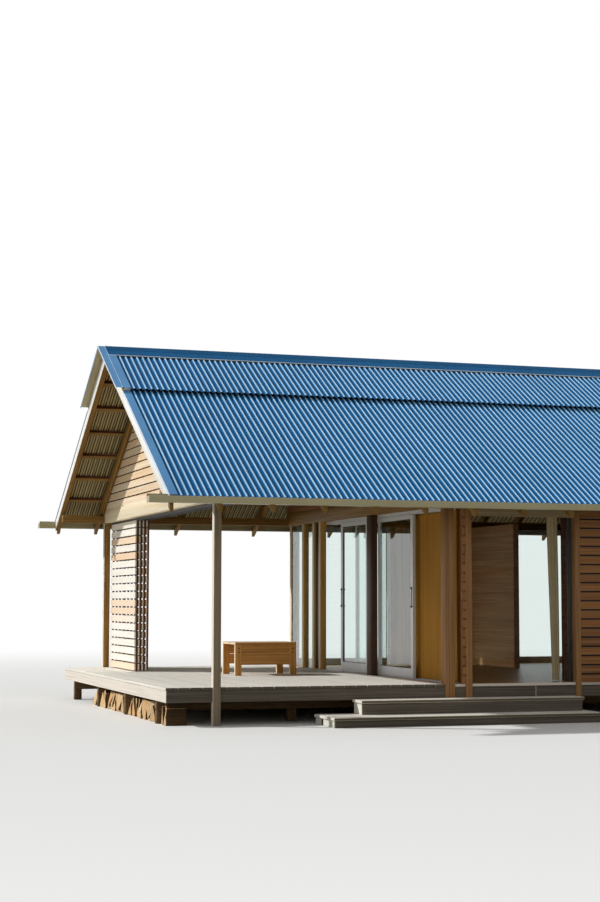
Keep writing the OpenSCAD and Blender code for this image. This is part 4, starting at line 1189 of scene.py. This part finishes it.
addModifier(cloth, "SUBSURF", levels=1, render_levels=1)
smoothShade(cloth, 60)
usePiece(cloth, "curtain_cloth", linenCloth, "curtain")
parts = []
for k in range(curtain["gliders"]):
    x = a.x + 0.012 + k * (width - 0.02) / (curtain["gliders"] - 1)
    glider = settle(addDisc(10, 0.004, 0.012, (x, centreY, b.z - 0.0065)))
    easeEdges(glider, 0.001)
    parts.append(glider)
gliders = usePiece(joinAll(parts, "curtainGliders"), "aluminium", aluminium)
print("curtain hung")

# table on the deck: planks on four legs, two boards to each apron
table = {"planks": 5, "gap": 0.003, "thick": 0.032, "leg": 0.090, "board": 0.045, "apron": 0.300, "set": 0.004,
         "ease": 0.004}
a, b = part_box("table")
leg, thick, inset = table["leg"], table["board"], table["set"]
under, foot = b.z - table["thick"] - 0.0005, b.z - table["apron"]
middle = (foot + under) / 2
aprons = ((foot, middle - 0.002), (middle + 0.002, under))
wide = (b.y - a.y) / table["planks"]
boxes = [((a.x, a.y + k * wide, b.z - table["thick"]), (b.x, a.y + (k + 1) * wide - table["gap"], b.z))
         for k in range(table["planks"])]
boxes += [((x, y, a.z), (x + leg, y + thick, under)) for x in (a.x, b.x - leg) for y in (a.y, b.y - thick)]
boxes += [((a.x + leg, y, z0), (b.x - leg, y + thick - inset, z1)) for y in (a.y + inset, b.y - thick)
          for z0, z1 in aprons]
boxes += [((b.x - thick, a.y + thick, z0), (b.x - inset, b.y - thick, z1)) for z0, z1 in aprons]
top = usePiece(makeBoards("deckTable", boxes, table["ease"], 95), "table_timber", tableTimber, "table")
# painted sunlight: pale pine on the left faces and on the top planks
paintWhere(top, paleTimber, lambda c, n: n.x < -0.9 or (n.z > 0.9 and c.z > b.z - 0.002))
# round plugs over the bolts
parts = []
for x in (a.x + 0.05, b.x - 0.05):
    for z in (under - 0.05, under - 0.10):
        for y in (a.y + 0.0001, b.y - 0.0001):
            plug = settle(addDisc(14, 0.011, 0.0008, (x, y, z), (math.radians(90), 0, 0)))
            easeEdges(plug, 0.0002)
            parts.append(plug)
plugs = joinAll(parts, "tablePlugs")
numberBoards(plugs, 96)
usePiece(plugs, "table_timber", stileTimber)
print("table made")

# firewood under the deck's left edge
wood = {"width": 0.2023, "high": 0.234, "starts": ((-3.0338, 2), (-2.5292, 8), (-0.8108, 8), (0.9108, 2)),
        "lean": (0.12, -0.2, 0.16, -0.06, 0.2, -0.12, 0.04, -0.16), "ease": 0.005}
a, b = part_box("firewood")
dice = random.Random(97)


def splitLog(y0, y1, tip, up):
    # one log cleft from a block by two strokes: standing on its base (up) or hanging between two others
    high = wood["high"]
    front = a.x + dice.uniform(0.0, 0.05)
    block = addBlock((front, min(y0, tip), 0.0004), (b.x - dice.uniform(0.03, 0.06), max(y1, tip), high))
    foot, head = (0.0, high) if up else (high, 0.0012)
    way = 1 if up else -1
    for y, side in ((y0, -1), (y1, 1)):
        cut = Vector((0, head - foot, -(tip - y))) * side * way
        cutOff(block, (0, y - side * dice.uniform(0.0, 0.012), foot), cut)
    # the sawn end is never square, and the sharp edges have broken away
    skew = (-1, dice.uniform(-0.3, 0.3), dice.uniform(-0.1, 0.35))
    cutOff(block, (front + 0.012, (y0 + y1) / 2, high / 2), skew)
    broken = dice.uniform(0.015, 0.05)
    cutOff(block, (0, tip, head - way * broken), (0, dice.uniform(-0.4, 0.4), way))
    for y, side in ((y0, -1), (y1, 1)):
        cutOff(block, (0, y - side * dice.uniform(0.02, 0.035), foot), (0, side, -0.5 * way))
    addModifier(block, "BEVEL", width=wood["ease"], segments=1, limit_method="ANGLE",
                angle_limit=math.radians(30))
    return block


logs = []
for start, count in wood["starts"]:
    edges = [start + i * wood["width"] for i in range(count + 1)]
    tips = [start + (i + 0.5 + wood["lean"][i]) * wood["width"] for i in range(count)]
    logs += [splitLog(edges[i] + 0.001, edges[i + 1] - 0.001, tips[i], True) for i in range(count)]
    logs += [splitLog(tips[i - 1] + 0.002, tips[i] - 0.002, edges[i], False) for i in range(1, count)]
stack = joinAll(logs, "firewoodSplit")
numberBoards(stack, 98, axis=0)
usePiece(stack, "firewood", splitTimber, "firewood")
# dark bark on the faces that look up, down, to the front and inwards: partly bark, partly painted shade
paintWhere(stack, barkAndShadeTimber, lambda c, n: abs(n.z) > 0.8 or n.y < -0.82 or n.x > 0.5)
print("firewood stacked")

# floor, light and world
studio = {"floorSize": 400, "fadeFrom": 9.0, "fadeTo": 30.0, "worldLight": 0.35}
lamps = {"keyLight": {"from": (-0.74, 0.36, 0.57), "strength": 2.75, "spread": 2.0},
         "fillLight": {"from": (-0.85, -0.45, 0.15), "strength": 0.22, "spread": 60}}
white = (1, 1, 1, 1)


def isBackdropRay(tree):
    # what the camera sees, straight, through glass or in a reflection, and not the light on the house
    path = addNode(tree, "LightPath").outputs
    straight = addNode(tree, "Math", {0: path["Is Camera Ray"], 1: path["Is Transmission Ray"]},
                       operation="MAXIMUM")
    return addNode(tree, "Math", {0: straight, 1: path["Is Glossy Ray"]}, operation="MAXIMUM")


deselectAll()
bpy.ops.mesh.primitive_plane_add(size=studio["floorSize"], location=(0, 0, -0.0005))
floorPlane = bpy.context.active_object
floorPlane.name = "studioFloor"
material, tree, shader = newMaterial("studioFloorPale")
# far away the floor fades into the white backdrop
place = addNode(tree, "TexCoord").outputs["Object"]
away = addNode(tree, "VectorMath", {0: place}, operation="LENGTH")
fade = addNode(tree, "MapRange", {"Value": away.outputs["Value"], "From Min": studio["fadeFrom"],
                                  "From Max": studio["fadeTo"]}, interpolation_type="SMOOTHSTEP")
# the camera sees the pale floor; the light it throws back on the house is duller and a little yellow
path = addNode(tree, "LightPath")
bounced = path.outputs["Is Diffuse Ray"]
tint = addNode(tree, "Mix", {"Factor": bounced, 6: colour("#f2f2f0"), 7: colour("#a3a294")}, data_type="RGBA")
connect(tree, shader, {"Base Color": tint.outputs[2], "Roughness": 0.9, "Specular IOR Level": 0.1})
glow = addNode(tree, "Emission", {"Color": white, "Strength": 1.0})
share = addNode(tree, "Math", {0: isBackdropRay(tree), 1: fade}, operation="MULTIPLY")
mix = addNode(tree, "MixShader", {0: share, 1: shader, 2: glow})
connect(tree, tree.nodes["Material Output"], {"Surface": mix})
floorPlane.data.materials.append(material)

for name, lamp in lamps.items():
    deselectAll()
    bpy.ops.object.light_add(type="SUN", location=(0, 0, 10))
    sun = bpy.context.active_object
    sun.name = name
    sun.rotation_euler = Vector(lamp["from"]).to_track_quat("Z", "Y").to_euler()
    sun.data.energy = lamp["strength"]
    sun.data.angle = math.radians(lamp["spread"])

world = bpy.data.worlds.new("studioWorld")
bpy.context.scene.world = world
world.use_nodes = True
tree = world.node_tree
soft = connect(tree, tree.nodes["Background"], {"Color": white, "Strength": studio["worldLight"]})
backdrop = addNode(tree, "Background", {"Color": white, "Strength": 1.0})
mix = addNode(tree, "MixShader", {0: isBackdropRay(tree), 1: soft, 2: backdrop})
connect(tree, tree.nodes["World Output"], {"Surface": mix})
bpy.context.scene.view_settings.view_transform = "Standard"
print("floor and lights set")
